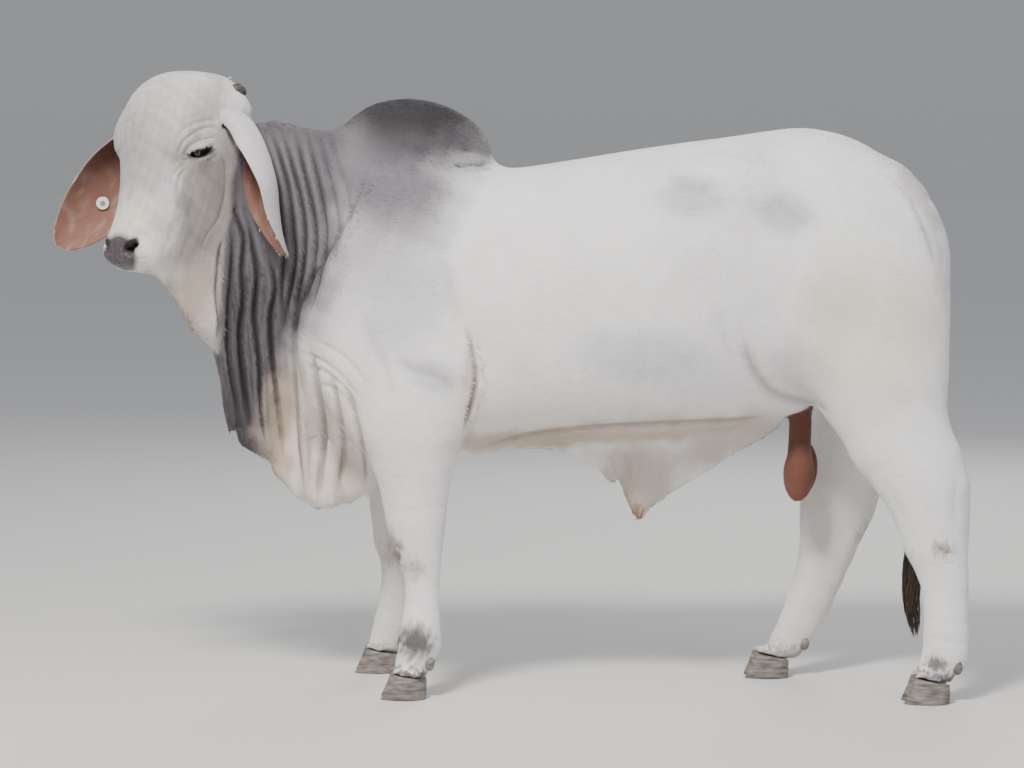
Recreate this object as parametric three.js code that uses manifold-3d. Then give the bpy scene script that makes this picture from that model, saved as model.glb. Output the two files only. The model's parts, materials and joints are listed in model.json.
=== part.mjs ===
// A Brahman bull as a still, life-size model, standing square with its head turned to its left.
// The animal is one smooth solid, given by distances to named masses of bone, muscle and loose skin.
// That solid is netted into faces and parted with thin flat cuts into head, neck, hump, dewlap, trunk and legs.
// Ears, eyes, horn buds, claws, tail, scrotum and ear tag are solids of their own that meet it face to face.
// Units are millimetres. -X is where the trunk faces, -Y is the bull's left side, +Z is up, the soles are at z = 0.

import * as THREE from "three";
import { mergeVertices } from "three/addons/utils/BufferGeometryUtils.js";
import Module from "manifold-3d";

const wasm = await Module();
wasm.setup();

// Driving sizes
const GAP = 0.3; // clearance between solids that touch
const LEFT = -1; // the sign of Y on the bull's left side
const RIGHT = 1;
const FRAME_CENTRE = { x: -12.7, y: -9.2 }; // the middle of the finished bull's box, which becomes the origin
const CLAW_TOP = { front: 74, slope: 0.2 }; // the coronet: height at the toe, and its fall to the heel

// A smooth line through [position, value] pairs, level past both ends
function curve(...keys) {
  const last = keys.length - 1;
  const slopes = keys.map((key, i) => {
    const [before, after] = [keys[Math.max(i - 1, 0)], keys[Math.min(i + 1, last)]];
    return (after[1] - before[1]) / (after[0] - before[0]);
  });
  return (at) => {
    if (at <= keys[0][0]) return keys[0][1];
    if (at >= keys[last][0]) return keys[last][1];
    let i = 0;
    while (at > keys[i + 1][0]) i += 1;
    const width = keys[i + 1][0] - keys[i][0];
    const t = (at - keys[i][0]) / width;
    const [t2, t3] = [t * t, t * t * t];
    return (
      (2 * t3 - 3 * t2 + 1) * keys[i][1] +
      (t3 - 2 * t2 + t) * width * slopes[i] +
      (3 * t2 - 2 * t3) * keys[i + 1][1] +
      (t3 - t2) * width * slopes[i + 1]
    );
  };
}

const clamp = (value, low, high) => Math.min(Math.max(value, low), high);
const fade = (from, to, value) => {
  const t = clamp((value - from) / (to - from), 0, 1);
  return t * t * (3 - 2 * t);
};

// Joins two distances with a fillet about as wide as soft
function blend(a, b, soft) {
  const near = Math.max(soft - Math.abs(a - b), 0) / soft;
  return Math.min(a, b) - (near * near * soft) / 4;
}

// A turned frame: its origin, and its three unit axes as rows
function frameOf(origin, yaw, pitch, roll = 0) {
  const turn = new THREE.Matrix4()
    .makeRotationFromEuler(new THREE.Euler(roll, pitch, yaw, "ZYX"))
    .setPosition(...origin);
  const e = turn.clone().invert().elements;
  const local = (x, y, z) => [
    e[0] * x + e[4] * y + e[8] * z + e[12],
    e[1] * x + e[5] * y + e[9] * z + e[13],
    e[2] * x + e[6] * y + e[10] * z + e[14],
  ];
  return { turn, local };
}

const RAD = Math.PI / 180;

// An ellipsoid of half sizes, turned by yaw about Z and pitch about Y in degrees
function lobe(centre, [a, b, c], yaw = 0, pitch = 0, roll = 0) {
  const { local } = frameOf(centre, yaw * RAD, pitch * RAD, roll * RAD);
  return (x, y, z) => {
    const [u, v, w] = local(x, y, z);
    const k0 = Math.hypot(u / a, v / b, w / c);
    const k1 = Math.hypot(u / (a * a), v / (b * b), w / (c * c));
    return k1 < 1e-9 ? -Math.min(a, b, c) : (k0 * (k0 - 1)) / k1;
  };
}

// A chain of tapering rods through [x, y, z, radius], narrower sideways by flat
function limb(joints, flat = 1, soft = 12) {
  const ends = joints.map(([x, y, z, r]) => [x, y / flat, z, r]);
  return (x, y, z) => {
    const sideways = y / flat;
    let all = 1e9;
    for (let i = 0; i + 1 < ends.length; i += 1) {
      const [p, q] = [ends[i], ends[i + 1]];
      const d = [q[0] - p[0], q[1] - p[1], q[2] - p[2]];
      const o = [x - p[0], sideways - p[1], z - p[2]];
      const length2 = d[0] ** 2 + d[1] ** 2 + d[2] ** 2;
      const t = clamp((o[0] * d[0] + o[1] * d[1] + o[2] * d[2]) / length2, 0, 1);
      const away = Math.hypot(o[0] - t * d[0], o[1] - t * d[1], o[2] - t * d[2]);
      const rod = (away - (p[3] + t * (q[3] - p[3]))) * Math.min(flat, 1);
      all = i ? blend(all, rod, soft) : rod;
    }
    return all;
  };
}

// The trunk from shoulder to loin: a section whose top, keel, widest height and half width vary along X
const trunkTop = curve([-620, 1440], [-400, 1415], [-200, 1392], [-30, 1388], [130, 1408], [290, 1434], [450, 1458],
  [560, 1472], [665, 1488], [758, 1500], [825, 1494], [906, 1472], [986, 1424], [1040, 1360], [1085, 1285], [1115, 1215]);
const trunkKeel = curve([-560, 760], [-450, 660], [-300, 612], [-120, 612], [60, 650], [200, 656], [400, 658],
  [520, 680], [640, 704], [740, 722], [820, 760], [920, 900], [1040, 1050], [1140, 1150]);
const trunkHalfWidth = curve([-640, 60], [-560, 150], [-450, 215], [-300, 262], [-100, 305], [100, 336], [300, 350],
  [450, 340], [600, 305], [758, 268], [900, 235], [1000, 195], [1070, 135], [1115, 60]);
function trunk(x, y, z) {
  const [top, keel, half] = [trunkTop(x), trunkKeel(x), trunkHalfWidth(x)];
  const middle = keel + (top - keel) * 0.5;
  const tall = z > middle ? top - middle : middle - keel;
  const roof = z > middle ? 2.15 : 2.3;
  const share = (Math.abs(y / half) ** roof + Math.abs((z - middle) / tall) ** roof) ** (1 / roof);
  const section = (share - 1) * Math.min(half, tall);
  const ends = Math.max(-620 - x, x - 1105);
  return Math.max(section, ends);
}

// Muscle and bone that show through the hide, the same on both sides
const paired = (make) => {
  const sides = [LEFT, RIGHT].map(make);
  return (x, y, z) => Math.min(sides[0](x, y, z), sides[1](x, y, z));
};
const masses = [
  [paired((s) => lobe([-318, s * 190, 1130], [175, 96, 290], 0, 14)), 90], // shoulder blade
  [paired((s) => lobe([-330, s * 225, 830], [165, 92, 190], 0, -22)), 80], // upper arm
  [paired((s) => lobe([-215, s * 228, 800], [120, 88, 170], 0, 18)), 70], // triceps behind the elbow
  [paired((s) => lobe([560, s * 215, 1330], [110, 62, 70], 0, 0)), 90], // hook bone
  [paired((s) => lobe([905, s * 165, 1120], [235, 130, 290], 0, 14)), 90], // rump
  [paired((s) => lobe([970, s * 185, 940], [178, 118, 260], 0, 0)), 80], // thigh
  [paired((s) => lobe([1040, s * 108, 1120], [106, 90, 205], 0, 0)), 40], // buttock
  [lobe([-470, 0, 900], [140, 170, 250], 0, -10), 80], // breast
  [lobe([-580, -8, 1218], [225, 150, 270], 4, 10), 90], // root of the neck
  [lobe([-715, -48, 1262], [160, 132, 238], 24, 12), 80], // middle of the neck
  [lobe([-805, -116, 1390], [122, 118, 190], 40, 4), 60], // nape
  [lobe([-838, -152, 1215], [92, 82, 165], 50, -8), 50], // throat under the cheeks
];

// The hump leans back over the withers
const hump = [
  [lobe([-330, 0, 1400], [165, 105, 130], 0, -8), 60],
  [lobe([-255, 0, 1465], [185, 92, 112], 0, 8), 50],
  [lobe([-150, 0, 1452], [98, 72, 68], 0, 16), 30],
  [lobe([-290, 0, 1318], [215, 182, 150]), 90], // the hump's foot, over the shoulder blades
];

// Loose skin hangs as a pleated curtain in the plane that the neck bends along
const neckBend = curve([-1000, -330], [-960, -285], [-880, -195], [-800, -118], [-700, -50], [-600, -14], [-500, -2],
  [-350, 0]);
function curtain(x, y, z, hem, thickness, pleat) {
  const slope = (neckBend(x + 5) - neckBend(x - 5)) / 10;
  const away = (y - neckBend(x) - pleat(x, z)) / Math.hypot(1, slope);
  const fall = (hem(x + 5) - hem(x - 5)) / 10;
  const below = (hem(x) - z) / Math.hypot(1, fall);
  const half = thickness(z - hem(x));
  const [side, under] = [Math.abs(away), below + half];
  return Math.hypot(side, Math.max(under, 0)) - half + Math.min(0, under) * 0.02;
}
const dewlapHem = curve([-960, 1250], [-925, 1120], [-890, 1050], [-861, 990], [-828, 938], [-800, 912], [-786, 865],
  [-773, 800], [-766, 735], [-750, 672], [-720, 640], [-672, 612], [-640, 560], [-600, 522], [-555, 474], [-500, 470],
  [-445, 482], [-400, 492], [-372, 516], [-350, 560], [-325, 620]);
const PLEAT = { length: 92, depth: 20 };
const dewlapPleat = (x, z) =>
  PLEAT.depth * Math.sin((x / PLEAT.length) * 2 * Math.PI) * fade(1150, 760, z) * fade(-900, -780, x);
const dewlapThickness = curve([0, 27], [60, 33], [200, 40], [400, 60], [600, 80]);
const dewlap = (x, y, z) => {
  const sheet = curtain(x, y, z, dewlapHem, dewlapThickness, dewlapPleat);
  return Math.max(sheet, x + 330, -985 - x, z - 1200);
};

const pouch = lobe([-806, -168, 1062], [40, 40, 135], 40, -14);

// The sheath hangs from the belly line in the same way, with its mouth at the lowest point
const sheathHem = curve([-140, 640], [-50, 640], [100, 634], [170, 610], [236, 572], [262, 538], [285, 548], [305, 500],
  [330, 452], [352, 452], [380, 482], [437, 520], [540, 582], [610, 628], [690, 672], [760, 740]);
const sheathThickness = curve([0, 30], [60, 34], [140, 52], [260, 70]);
const sheath = (x, y, z) =>
  Math.max(curtain(x, y + neckBend(x), z, sheathHem, sheathThickness, () => 0), -120 - x, x - 720, z - 800);

// Legs: [x, z, radius] down to the coronet, with the side and how far out each level stands
const legs = {
  foreleg_left: {
    side: LEFT, flat: 0.86, out: curve([0, -222], [300, -214], [640, -225], [800, -205]),
    joints: [[-270, 760, 128], [-258, 690, 122], [-257, 616, 106], [-255, 553, 91], [-251, 477, 81], [-247, 424, 70],
      [-243, 377, 60], [-236, 330, 49], [-235, 262, 46], [-239, 200, 52], [-240, 145, 55], [-262, 88, 50]],
    foot: [-286, 0.02],
  },
  foreleg_right: {
    side: RIGHT, flat: 0.86, out: curve([0, 195], [300, 194], [640, 215], [800, 205]),
    joints: [[-285, 760, 128], [-292, 690, 122], [-302, 616, 106], [-310, 553, 90], [-317, 470, 80], [-322, 410, 66],
      [-327, 366, 57], [-316, 310, 48], [-316, 250, 46], [-320, 200, 50], [-328, 140, 53], [-348, 88, 50]],
    foot: [-374, -0.05],
  },
  hindleg_left: {
    side: LEFT, flat: 0.78, out: curve([0, -288], [300, -262], [545, -245], [760, -205]),
    joints: [[975, 790, 160], [1010, 690, 138], [1056, 610, 124], [1085, 545, 112], [1098, 477, 97], [1105, 416, 86],
      [1120, 353, 70], [1130, 305, 62], [1132, 240, 59], [1132, 175, 60], [1130, 130, 59], [1108, 86, 54]],
    foot: [1076, -0.12],
  },
  hindleg_right: {
    side: RIGHT, flat: 0.78, out: curve([0, 112], [300, 145], [545, 178], [760, 200]),
    joints: [[925, 790, 160], [925, 690, 140], [918, 600, 124], [906, 530, 114], [896, 470, 105], [882, 416, 92],
      [868, 352, 78], [846, 280, 68], [815, 200, 64], [790, 143, 58], [752, 86, 52]],
    foot: [695, 0.18],
  },
};
const legField = ({ joints, flat, out }) => limb(joints.map(([x, z, r]) => [x, out(z), z, r]), flat);

// A foot under its leg: two toes, side by side, that taper forward and stand flat
const TOE = { apart: 33, half: [72, 34, 66], forward: 6 };
function footField(leg) {
  const [x, turn] = leg.foot;
  const y = leg.out(0);
  const toes = [-1, 1].map((side) =>
    lobe([x - TOE.forward, y + side * TOE.apart, 16], TOE.half, side * 5 + turn * 40, -14));
  return (px, py, pz) => Math.min(toes[0](px, py, pz), toes[1](px, py, pz));
}
const legFields = Object.fromEntries(Object.entries(legs).map(([name, leg]) => [name, legField(leg)]));
const footFields = Object.fromEntries(Object.entries(legs).map(([name, leg]) => [name, footField(leg)]));

// The head, in its own frame: u runs down the face from the poll, v to the bull's left, w out of the face
const HEAD = { poll: [-932, -240, 1630], yaw: 50, slope: 73, muzzleTurn: 12 };
const headAxes = (() => {
  const [yaw, slope] = [HEAD.yaw * RAD, HEAD.slope * RAD];
  const ahead = new THREE.Vector3(-Math.cos(yaw), -Math.sin(yaw), 0);
  const down = ahead.clone().multiplyScalar(Math.cos(slope)).add(new THREE.Vector3(0, 0, -Math.sin(slope)));
  const left = new THREE.Vector3(Math.sin(yaw), -Math.cos(yaw), 0);
  const out = left.clone().cross(down).negate();
  return [down, left, out];
})();
const toHead = (x, y, z) => {
  const [a, b, c] = [x - HEAD.poll[0], y - HEAD.poll[1], z - HEAD.poll[2]];
  const [u, v, w] = headAxes.map((axis) => a * axis.x + b * axis.y + c * axis.z);
  return [u, v + HEAD.muzzleTurn * fade(300, 460, u), w];
};
const fromHead = (u, v, w) =>
  headAxes
    .reduce((sum, axis, i) => sum.addScaledVector(axis, [u, v, w][i]), new THREE.Vector3(...HEAD.poll))
    .toArray();
const faceLine = curve([-62, -205], [-52, -150], [-34, -92], [-10, -52], [25, -18], [60, 0], [100, 9], [140, 12],
  [190, 6], [240, -6], [310, -14], [390, -18], [435, -20], [472, -34], [496, -60], [508, -92]);
const jawLine = curve([-62, -236], [-50, -262], [-25, -282], [40, -290], [100, -286], [160, -276], [230, -240],
  [310, -196], [390, -160], [440, -142], [475, -132], [496, -118], [508, -98]);
const faceHalfWidth = curve([-62, 36], [-52, 72], [-32, 98], [5, 114], [60, 122], [110, 124], [165, 124], [225, 110],
  [295, 89], [360, 80], [410, 84], [445, 92], [470, 90], [490, 76], [508, 38]);
function skull(u, v, w) {
  const [top, bottom] = [faceLine(u), jawLine(u)];
  const middle = bottom + (top - bottom) * 0.6;
  const tall = w > middle ? top - middle : middle - bottom;
  const narrow = w > middle ? 0 : 0.22 * fade(0, 1, (middle - w) / tall) * fade(40, 150, u);
  const half = faceHalfWidth(u) * (1 - narrow);
  const power = 2.35 + 0.5 * fade(150, 60, u);
  const share = (Math.abs(v / half) ** power + Math.abs((w - middle) / tall) ** power) ** (1 / power);
  return Math.max((share - 1) * Math.min(half, tall), -62 - u, u - 508);
}
const headPaired = (u, v, w, half, turn = 0) => {
  const shapes = [1, -1].map((side) => lobe([u, side * v, w], half, side * turn));
  return (pu, pv, pw) => Math.min(shapes[0](pu, pv, pw), shapes[1](pu, pv, pw));
};
const EYE = { at: [178, 113, -110], radius: 21, slit: [36, 9], tilt: 41 };
const headMasses = [
  [lobe([24, 0, -150], [72, 100, 92]), 40], // crown between the ears
  [headPaired(145, 94, -52, [60, 34, 42], 8), 30], // brow over the eye
  [headPaired(188, 104, -108, [40, 28, 38], 6), 22], // lids and socket
  [headPaired(275, 72, -98, [90, 22, 30], 14), 40], // cheekbone running to the muzzle
  [headPaired(195, 84, -180, [88, 40, 66], 4), 50], // cheek muscle
  [headPaired(460, 36, -50, [36, 36, 30]), 24], // wing of the nostril
  [lobe([466, 0, -62], [36, 58, 36]), 26], // nose pad
  [headPaired(456, 44, -104, [42, 44, 34]), 26], // upper lip
  [lobe([455, 0, -126], [34, 46, 20]), 20], // chin
  [lobe([350, 0, -188], [132, 93, 82]), 50], // slack skin between jaw and throat
  [headPaired(302, 54, -152, [100, 36, 66]), 50], // hollow of the cheek
  [headPaired(34, 102, -222, [48, 36, 50]), 40], // root of the ear
];
function headField(x, y, z) {
  const [u, v, w] = toHead(x, y, z);
  let all = skull(u, v, w);
  for (const [mass, soft] of headMasses) all = blend(all, mass(u, v, w), soft);
  return all;
}

// The whole animal, without the pieces that are solids of their own
function body(x, y, z) {
  let all = trunk(x, y, z);
  for (const [mass, soft] of masses) all = blend(all, mass(x, y, z), soft);
  for (const [mass, soft] of hump) all = blend(all, mass(x, y, z), soft);
  for (const leg of Object.values(legFields)) all = blend(all, leg(x, y, z), 60);
  for (const foot of Object.values(footFields)) all = blend(all, foot(x, y, z), 14);
  all = blend(all, headField(x, y, z), 40);
  all = blend(all, dewlap(x, y, z), 45);
  all = blend(all, pouch(x, y, z), 30);
  return blend(all, sheath(x, y, z), 30);
}

// The edges of one cell that the surface crosses, in groups that belong to one patch of it.
// An edge is named by three times its low corner plus its axis; corner bits 1, 2 and 4 stand for X, Y and Z
function patches(values) {
  const crossed = (corner, axis) => values[corner] < 0 !== values[corner | (1 << axis)] < 0;
  const parent = new Map();
  for (let corner = 0; corner < 8; corner += 1)
    for (const axis of [0, 1, 2])
      if (!(corner & (1 << axis)) && crossed(corner, axis)) parent.set(corner * 3 + axis, corner * 3 + axis);
  const root = (edge) => {
    let at = edge;
    while (parent.get(at) !== at) at = parent.get(at);
    return at;
  };
  for (const axis of [0, 1, 2])
    for (const base of [0, 1 << axis]) {
      const [b, c] = [(axis + 1) % 3, (axis + 2) % 3];
      const corners = [base, base | (1 << b), base | (1 << b) | (1 << c), base | (1 << c)];
      const edges = [base * 3 + b, corners[1] * 3 + c, corners[3] * 3 + b, base * 3 + c];
      const cut = edges.filter((edge) => parent.has(edge));
      if (cut.length === 2) parent.set(root(cut[0]), root(cut[1]));
      if (cut.length === 4)
        corners.forEach((corner, i) => {
          if (values[corner] < 0) parent.set(root(edges[i]), root(edges[(i + 3) % 4]));
        });
    }
  const groups = new Map();
  for (const edge of parent.keys()) groups.set(root(edge), [...(groups.get(root(edge)) ?? []), edge]);
  return [...groups.values()];
}

// Nets the zero surface of a distance inside a box: one point for each patch in each cell it crosses
function net(field, [low, high], cell) {
  const count = [0, 1, 2].map((k) => Math.ceil((high[k] - low[k]) / cell[k]) + 1);
  const stride = [count[1] * count[2], count[2], 1];
  const at = (i, j, k) => i * stride[0] + j * stride[1] + k;
  const values = new Float64Array(count[0] * stride[0]);
  const inside = (x, y, z) => {
    const walls = [x, y, z].map((where, k) => Math.max(low[k] + cell[k] - where, where - high[k] + cell[k]));
    return Math.max(field(x, y, z), ...walls);
  };
  for (let i = 0; i < count[0]; i += 1)
    for (let j = 0; j < count[1]; j += 1)
      for (let k = 0; k < count[2]; k += 1)
        values[at(i, j, k)] = inside(low[0] + i * cell[0], low[1] + j * cell[1], low[2] + k * cell[2]);
  const points = [];
  const pointOf = new Map();
  const bits = (corner) => [corner & 1, (corner >> 1) & 1, (corner >> 2) & 1];
  for (let i = 0; i + 1 < count[0]; i += 1)
    for (let j = 0; j + 1 < count[1]; j += 1)
      for (let k = 0; k + 1 < count[2]; k += 1) {
        const here = at(i, j, k);
        const near = [...Array(8).keys()].map((corner) => {
          const [a, b, c] = bits(corner);
          return values[at(i + a, j + b, k + c)];
        });
        for (const patch of patches(near)) {
          const sum = [0, 0, 0];
          for (const edge of patch) {
            pointOf.set(here * 24 + edge, points.length);
            const [corner, axis] = [Math.floor(edge / 3), edge % 3];
            const share = near[corner] / (near[corner] - near[corner | (1 << axis)]);
            bits(corner).forEach((bit, n) => {
              sum[n] += (bit + (n === axis ? share : 0)) / patch.length;
            });
          }
          points.push([i, j, k].map((n, m) => low[m] + (n + sum[m]) * cell[m]));
        }
      }
  const faces = [];
  const far = (p, q) => Math.hypot(...points[p].map((n, m) => n - points[q][m]));
  for (const axis of [0, 1, 2]) {
    const [b, c] = [(axis + 1) % 3, (axis + 2) % 3];
    for (let here = 0; here < values.length; here += 1) {
      const index = [Math.floor(here / stride[0]), Math.floor(here / stride[1]) % count[1], here % count[2]];
      if (index[axis] + 1 >= count[axis] || index[b] < 1 || index[c] < 1) continue;
      const within = values[here] < 0;
      if (within === values[here + stride[axis]] < 0) continue;
      const [p, q, r, s] = [[1, 1], [0, 1], [0, 0], [1, 0]].map(([back, down]) =>
        pointOf.get((here - back * stride[b] - down * stride[c]) * 24 + (back * (1 << b) + down * (1 << c)) * 3 + axis));
      const halves = far(p, r) < far(q, s) ? [[p, q, r], [p, r, s]] : [[q, r, s], [q, s, p]];
      for (const [x, y, z] of halves) faces.push(...(within ? [x, y, z] : [x, z, y]));
    }
  }
  for (const point of points) settle(point, inside, cell);
  return { points, faces };
}

// Moves a point along the slope of the distance, onto the surface, by less than half a cell
function settle(point, field, cell) {
  const start = [...point];
  for (let round = 0; round < 3; round += 1) {
    const value = field(...point);
    const slope = [0, 1, 2].map((k) => {
      const step = [...point];
      step[k] += 0.5;
      return (field(...step) - value) / 0.5;
    });
    const steep = slope[0] ** 2 + slope[1] ** 2 + slope[2] ** 2;
    if (steep < 0.04) break;
    for (const k of [0, 1, 2]) {
      const moved = point[k] - (value * slope[k]) / steep;
      point[k] = clamp(moved, start[k] - cell[k] * 0.45, start[k] + cell[k] * 0.45);
    }
  }
}

// Solids that can be joined and cut
function solidOf(geometry) {
  const plain = geometry.clone();
  plain.deleteAttribute("normal");
  plain.deleteAttribute("uv");
  const merged = mergeVertices(plain, 1e-4);
  return new wasm.Manifold(new wasm.Mesh({
    numProp: 3,
    vertProperties: new Float32Array(merged.attributes.position.array),
    triVerts: new Uint32Array(merged.index.array),
  }));
}
function solidFrom({ points, faces }) {
  return new wasm.Manifold(new wasm.Mesh({
    numProp: 3,
    vertProperties: new Float32Array(points.flat()),
    triVerts: new Uint32Array(faces),
  }));
}
// A closed solid through rings of points, all with the same count, capped at both ends
function through(rings) {
  const count = rings[0].length;
  const middle = (ring) => [0, 1, 2].map((k) => ring.reduce((sum, point) => sum + point[k] / count, 0));
  const points = [...rings.flat(), middle(rings[0]), middle(rings[rings.length - 1])];
  const [first, last] = [points.length - 2, points.length - 1];
  const at = (ring, i) => ring * count + (i % count);
  const triangles = [];
  for (let i = 0; i < count; i += 1) {
    for (let ring = 0; ring + 1 < rings.length; ring += 1) {
      triangles.push([at(ring, i), at(ring, i + 1), at(ring + 1, i + 1)]);
      triangles.push([at(ring, i), at(ring + 1, i + 1), at(ring + 1, i)]);
    }
    triangles.push([first, at(0, i + 1), at(0, i)]);
    triangles.push([last, at(rings.length - 1, i), at(rings.length - 1, i + 1)]);
  }
  const six = triangles.reduce((sum, [a, b, c]) => {
    const [p, q, r] = [a, b, c].map((i) => new THREE.Vector3(...points[i]));
    return sum + p.dot(q.cross(r));
  }, 0);
  const faces = triangles.flatMap(([a, b, c]) => (six > 0 ? [a, b, c] : [a, c, b]));
  return solidFrom({ points, faces });
}

function geometryOf(solid) {
  const mesh = solid.getMesh();
  const positions = new Float32Array(mesh.numVert * 3);
  for (let i = 0; i < mesh.numVert; i += 1)
    positions.set(mesh.vertProperties.subarray(i * mesh.numProp, i * mesh.numProp + 3), i * 3);
  const geometry = new THREE.BufferGeometry();
  geometry.setAttribute("position", new THREE.BufferAttribute(positions, 3));
  geometry.setIndex(new THREE.BufferAttribute(new Uint32Array(mesh.triVerts), 1));
  return geometry;
}
const BIG = 3000;
// The half of space that lies along a direction from a point, moved along it by shift
function halfSpace([point, along], shift) {
  const direction = new THREE.Vector3(...along).normalize();
  const box = new THREE.BoxGeometry(BIG, BIG, BIG);
  box.translate(0, 0, BIG / 2 + shift);
  box.applyQuaternion(new THREE.Quaternion().setFromUnitVectors(new THREE.Vector3(0, 0, 1), direction));
  box.translate(...point);
  return solidOf(box);
}
const largest = (solid) => solid.decompose().sort((a, b) => b.volume() - a.volume())[0];
const common = (solids) => solids.reduce((all, solid) => all.intersect(solid));

// Regions of the body, each the space common to some half spaces. Each takes what the ones before it left
const leftward = (u, v, w) =>
  headAxes.reduce((sum, axis, i) => sum.addScaledVector(axis, [u, v, w][i]), new THREE.Vector3()).toArray();
const forelegPlanes = (side) => [
  [[0, side * 120, 600], [0, side * 160, -220]],
  [[0, side * 70, 0], [0, side, 0]],
  [[-475, 0, 0], [1, 0, 0]],
  [[-95, 0, 0], [-1, 0, 0]],
];
const hindlegPlanes = (side) => [
  [[900, 0, 738], [0, 0, -1]],
  [[800, 0, 690], [1, 0, -0.45]],
  [[0, side * 6, 0], [0, side, 0]],
];
const KNEE = 400;
const HOCK = 470;
const lower = (z) => [[0, 0, z], [0, 0, -1]];
const regions = {
  head: [
    [fromHead(60, 0, -262), leftward(0.5, 0, 0.86)],
    [fromHead(200, 0, -268), leftward(-0.3, 0, 0.955)],
  ],
  hump: [
    [[-493, 0, 1498], [0.216, 0, 0.976]],
    [[-505, 0, 1500], [1, 0, -0.2]],
    [[-59, 0, 1395], [-1, 0, 0.5]],
  ],
  foreleg_left_shank: [...forelegPlanes(LEFT), lower(KNEE)],
  foreleg_left_arm: forelegPlanes(LEFT),
  foreleg_right_shank: [...forelegPlanes(RIGHT), lower(KNEE)],
  foreleg_right_arm: forelegPlanes(RIGHT),
  hindleg_left_shank: [...hindlegPlanes(LEFT), lower(HOCK)],
  hindleg_left_thigh: hindlegPlanes(LEFT),
  hindleg_right_shank: [...hindlegPlanes(RIGHT), lower(HOCK)],
  hindleg_right_thigh: hindlegPlanes(RIGHT),
  dewlap: [[[-600, 0, 872], [-1, 0, -1]], [[-330, 0, 0], [-1, 0, 0]]],
  neck: [[[-450, 0, 1200], [-1, 0, 0.35]]],
  sheath: [[[100, 0, 646], [0.09, 0, -1]], [[0, 0, 0], [1, 0, 0]]],
  trunk: [],
};
// Where the surface is netted for each region, and how finely
const nets = {
  head: [[[-1175, -470, 1060], [-660, 60, 1720]], [36, 36, 40]],
  hump: [[[-570, -200, 1320], [100, 200, 1650]], [62, 40, 40]],
  foreleg_left_shank: [[[-430, -340, -60], [-110, -90, 560]], [36, 36, 60]],
  foreleg_left_arm: [[[-520, -440, 240], [-30, -30, 880]], [50, 50, 62]],
  foreleg_right_shank: [[[-510, 70, -60], [-180, 320, 560]], [36, 36, 60]],
  foreleg_right_arm: [[[-520, 30, 240], [-30, 440, 880]], [50, 50, 62]],
  hindleg_left_shank: [[[910, -400, -60], [1290, -120, 640]], [38, 38, 60]],
  hindleg_left_thigh: [[[690, -440, 310], [1300, 50, 820]], [56, 50, 62]],
  hindleg_right_shank: [[[560, 10, -60], [1090, 320, 640]], [38, 38, 60]],
  hindleg_right_thigh: [[[690, -50, 310], [1300, 440, 820]], [56, 50, 62]],
  dewlap: [[[-1060, -440, 380], [-230, 220, 1360]], [31, 31, 52]],
  neck: [[[-1030, -460, 540], [-220, 360, 1780]], [70, 70, 84]],
  sheath: [[[-80, -130, 400], [800, 130, 800]], [60, 34, 40]],
  trunk: [[[-760, -470, 480], [1320, 470, 1660]], [150, 95, 95]],
};

const hide = (colour, roughness = 0.85) => new THREE.MeshStandardMaterial({ color: colour, roughness, metalness: 0 });
const finishes = {
  white_hide: hide(0xdcd9d4),
  grey_hide: hide(0x77737a),
  face_hide: hide(0xc4bebb),
  tan_skin: hide(0x8a5a45, 0.7),
  pink_skin: hide(0xa8775f, 0.7),
  black_hair: hide(0x2a2421, 0.7),
  horn: hide(0x8d8781, 0.55),
  eye: hide(0x0c0908, 0.1),
  tag_white: hide(0xe6e6e2, 0.45),
  tag_grey: hide(0x8a8d90, 0.45),
};
const bull = new THREE.Group();
function place(name, solid, finish) {
  const mesh = new THREE.Mesh(geometryOf(largest(solid)), finishes[finish]);
  mesh.name = name;
  bull.add(mesh);
}

// An ellipsoid as a solid, with its own axes given by a frame
function egg(centre, half, frame = new THREE.Matrix4(), around = 10, up = 8) {
  const ball = new THREE.SphereGeometry(1, around, up);
  ball.rotateX(Math.PI / 2);
  ball.scale(...half);
  ball.applyMatrix4(frame);
  ball.translate(...centre);
  return solidOf(ball);
}
const grown = (half, by = GAP) => half.map((size) => size + by);

// Eyes and horn buds sit in hollows of the head, and the ears stand on two flat seats
const headBasis = new THREE.Matrix4().makeBasis(...headAxes);
const SCUR = { at: [-22, 96, -214], half: [17, 17, 21] };
const EAR_SEAT = { v: 106, u: [-20, 110], w: [-290, -150] };
const sockets = [LEFT, RIGHT].flatMap((side) => {
  const turned = (at) => fromHead(at[0], -side * at[1], at[2]);
  const slitFrame = headBasis.clone().multiply(new THREE.Matrix4().makeRotationY(-EYE.tilt * RAD));
  return [
    egg(turned(EYE.at), grown([EYE.radius, EYE.radius, EYE.radius]), headBasis),
    egg(turned([EYE.at[0], EYE.at[1] + 22, EYE.at[2]]), [EYE.slit[0], 30, EYE.slit[1]], slitFrame, 10, 6),
    egg(turned(SCUR.at), grown(SCUR.half), headBasis, 8, 6),
  ];
});
const earSeats = [LEFT, RIGHT].map((side) => {
  const { v, u, w } = EAR_SEAT;
  const slab = new THREE.BoxGeometry(u[1] - u[0], 80, w[1] - w[0]);
  slab.translate((u[0] + u[1]) / 2, -side * (v + 40), (w[0] + w[1]) / 2);
  slab.applyMatrix4(headBasis.clone().setPosition(...HEAD.poll));
  return solidOf(slab);
});

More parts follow.
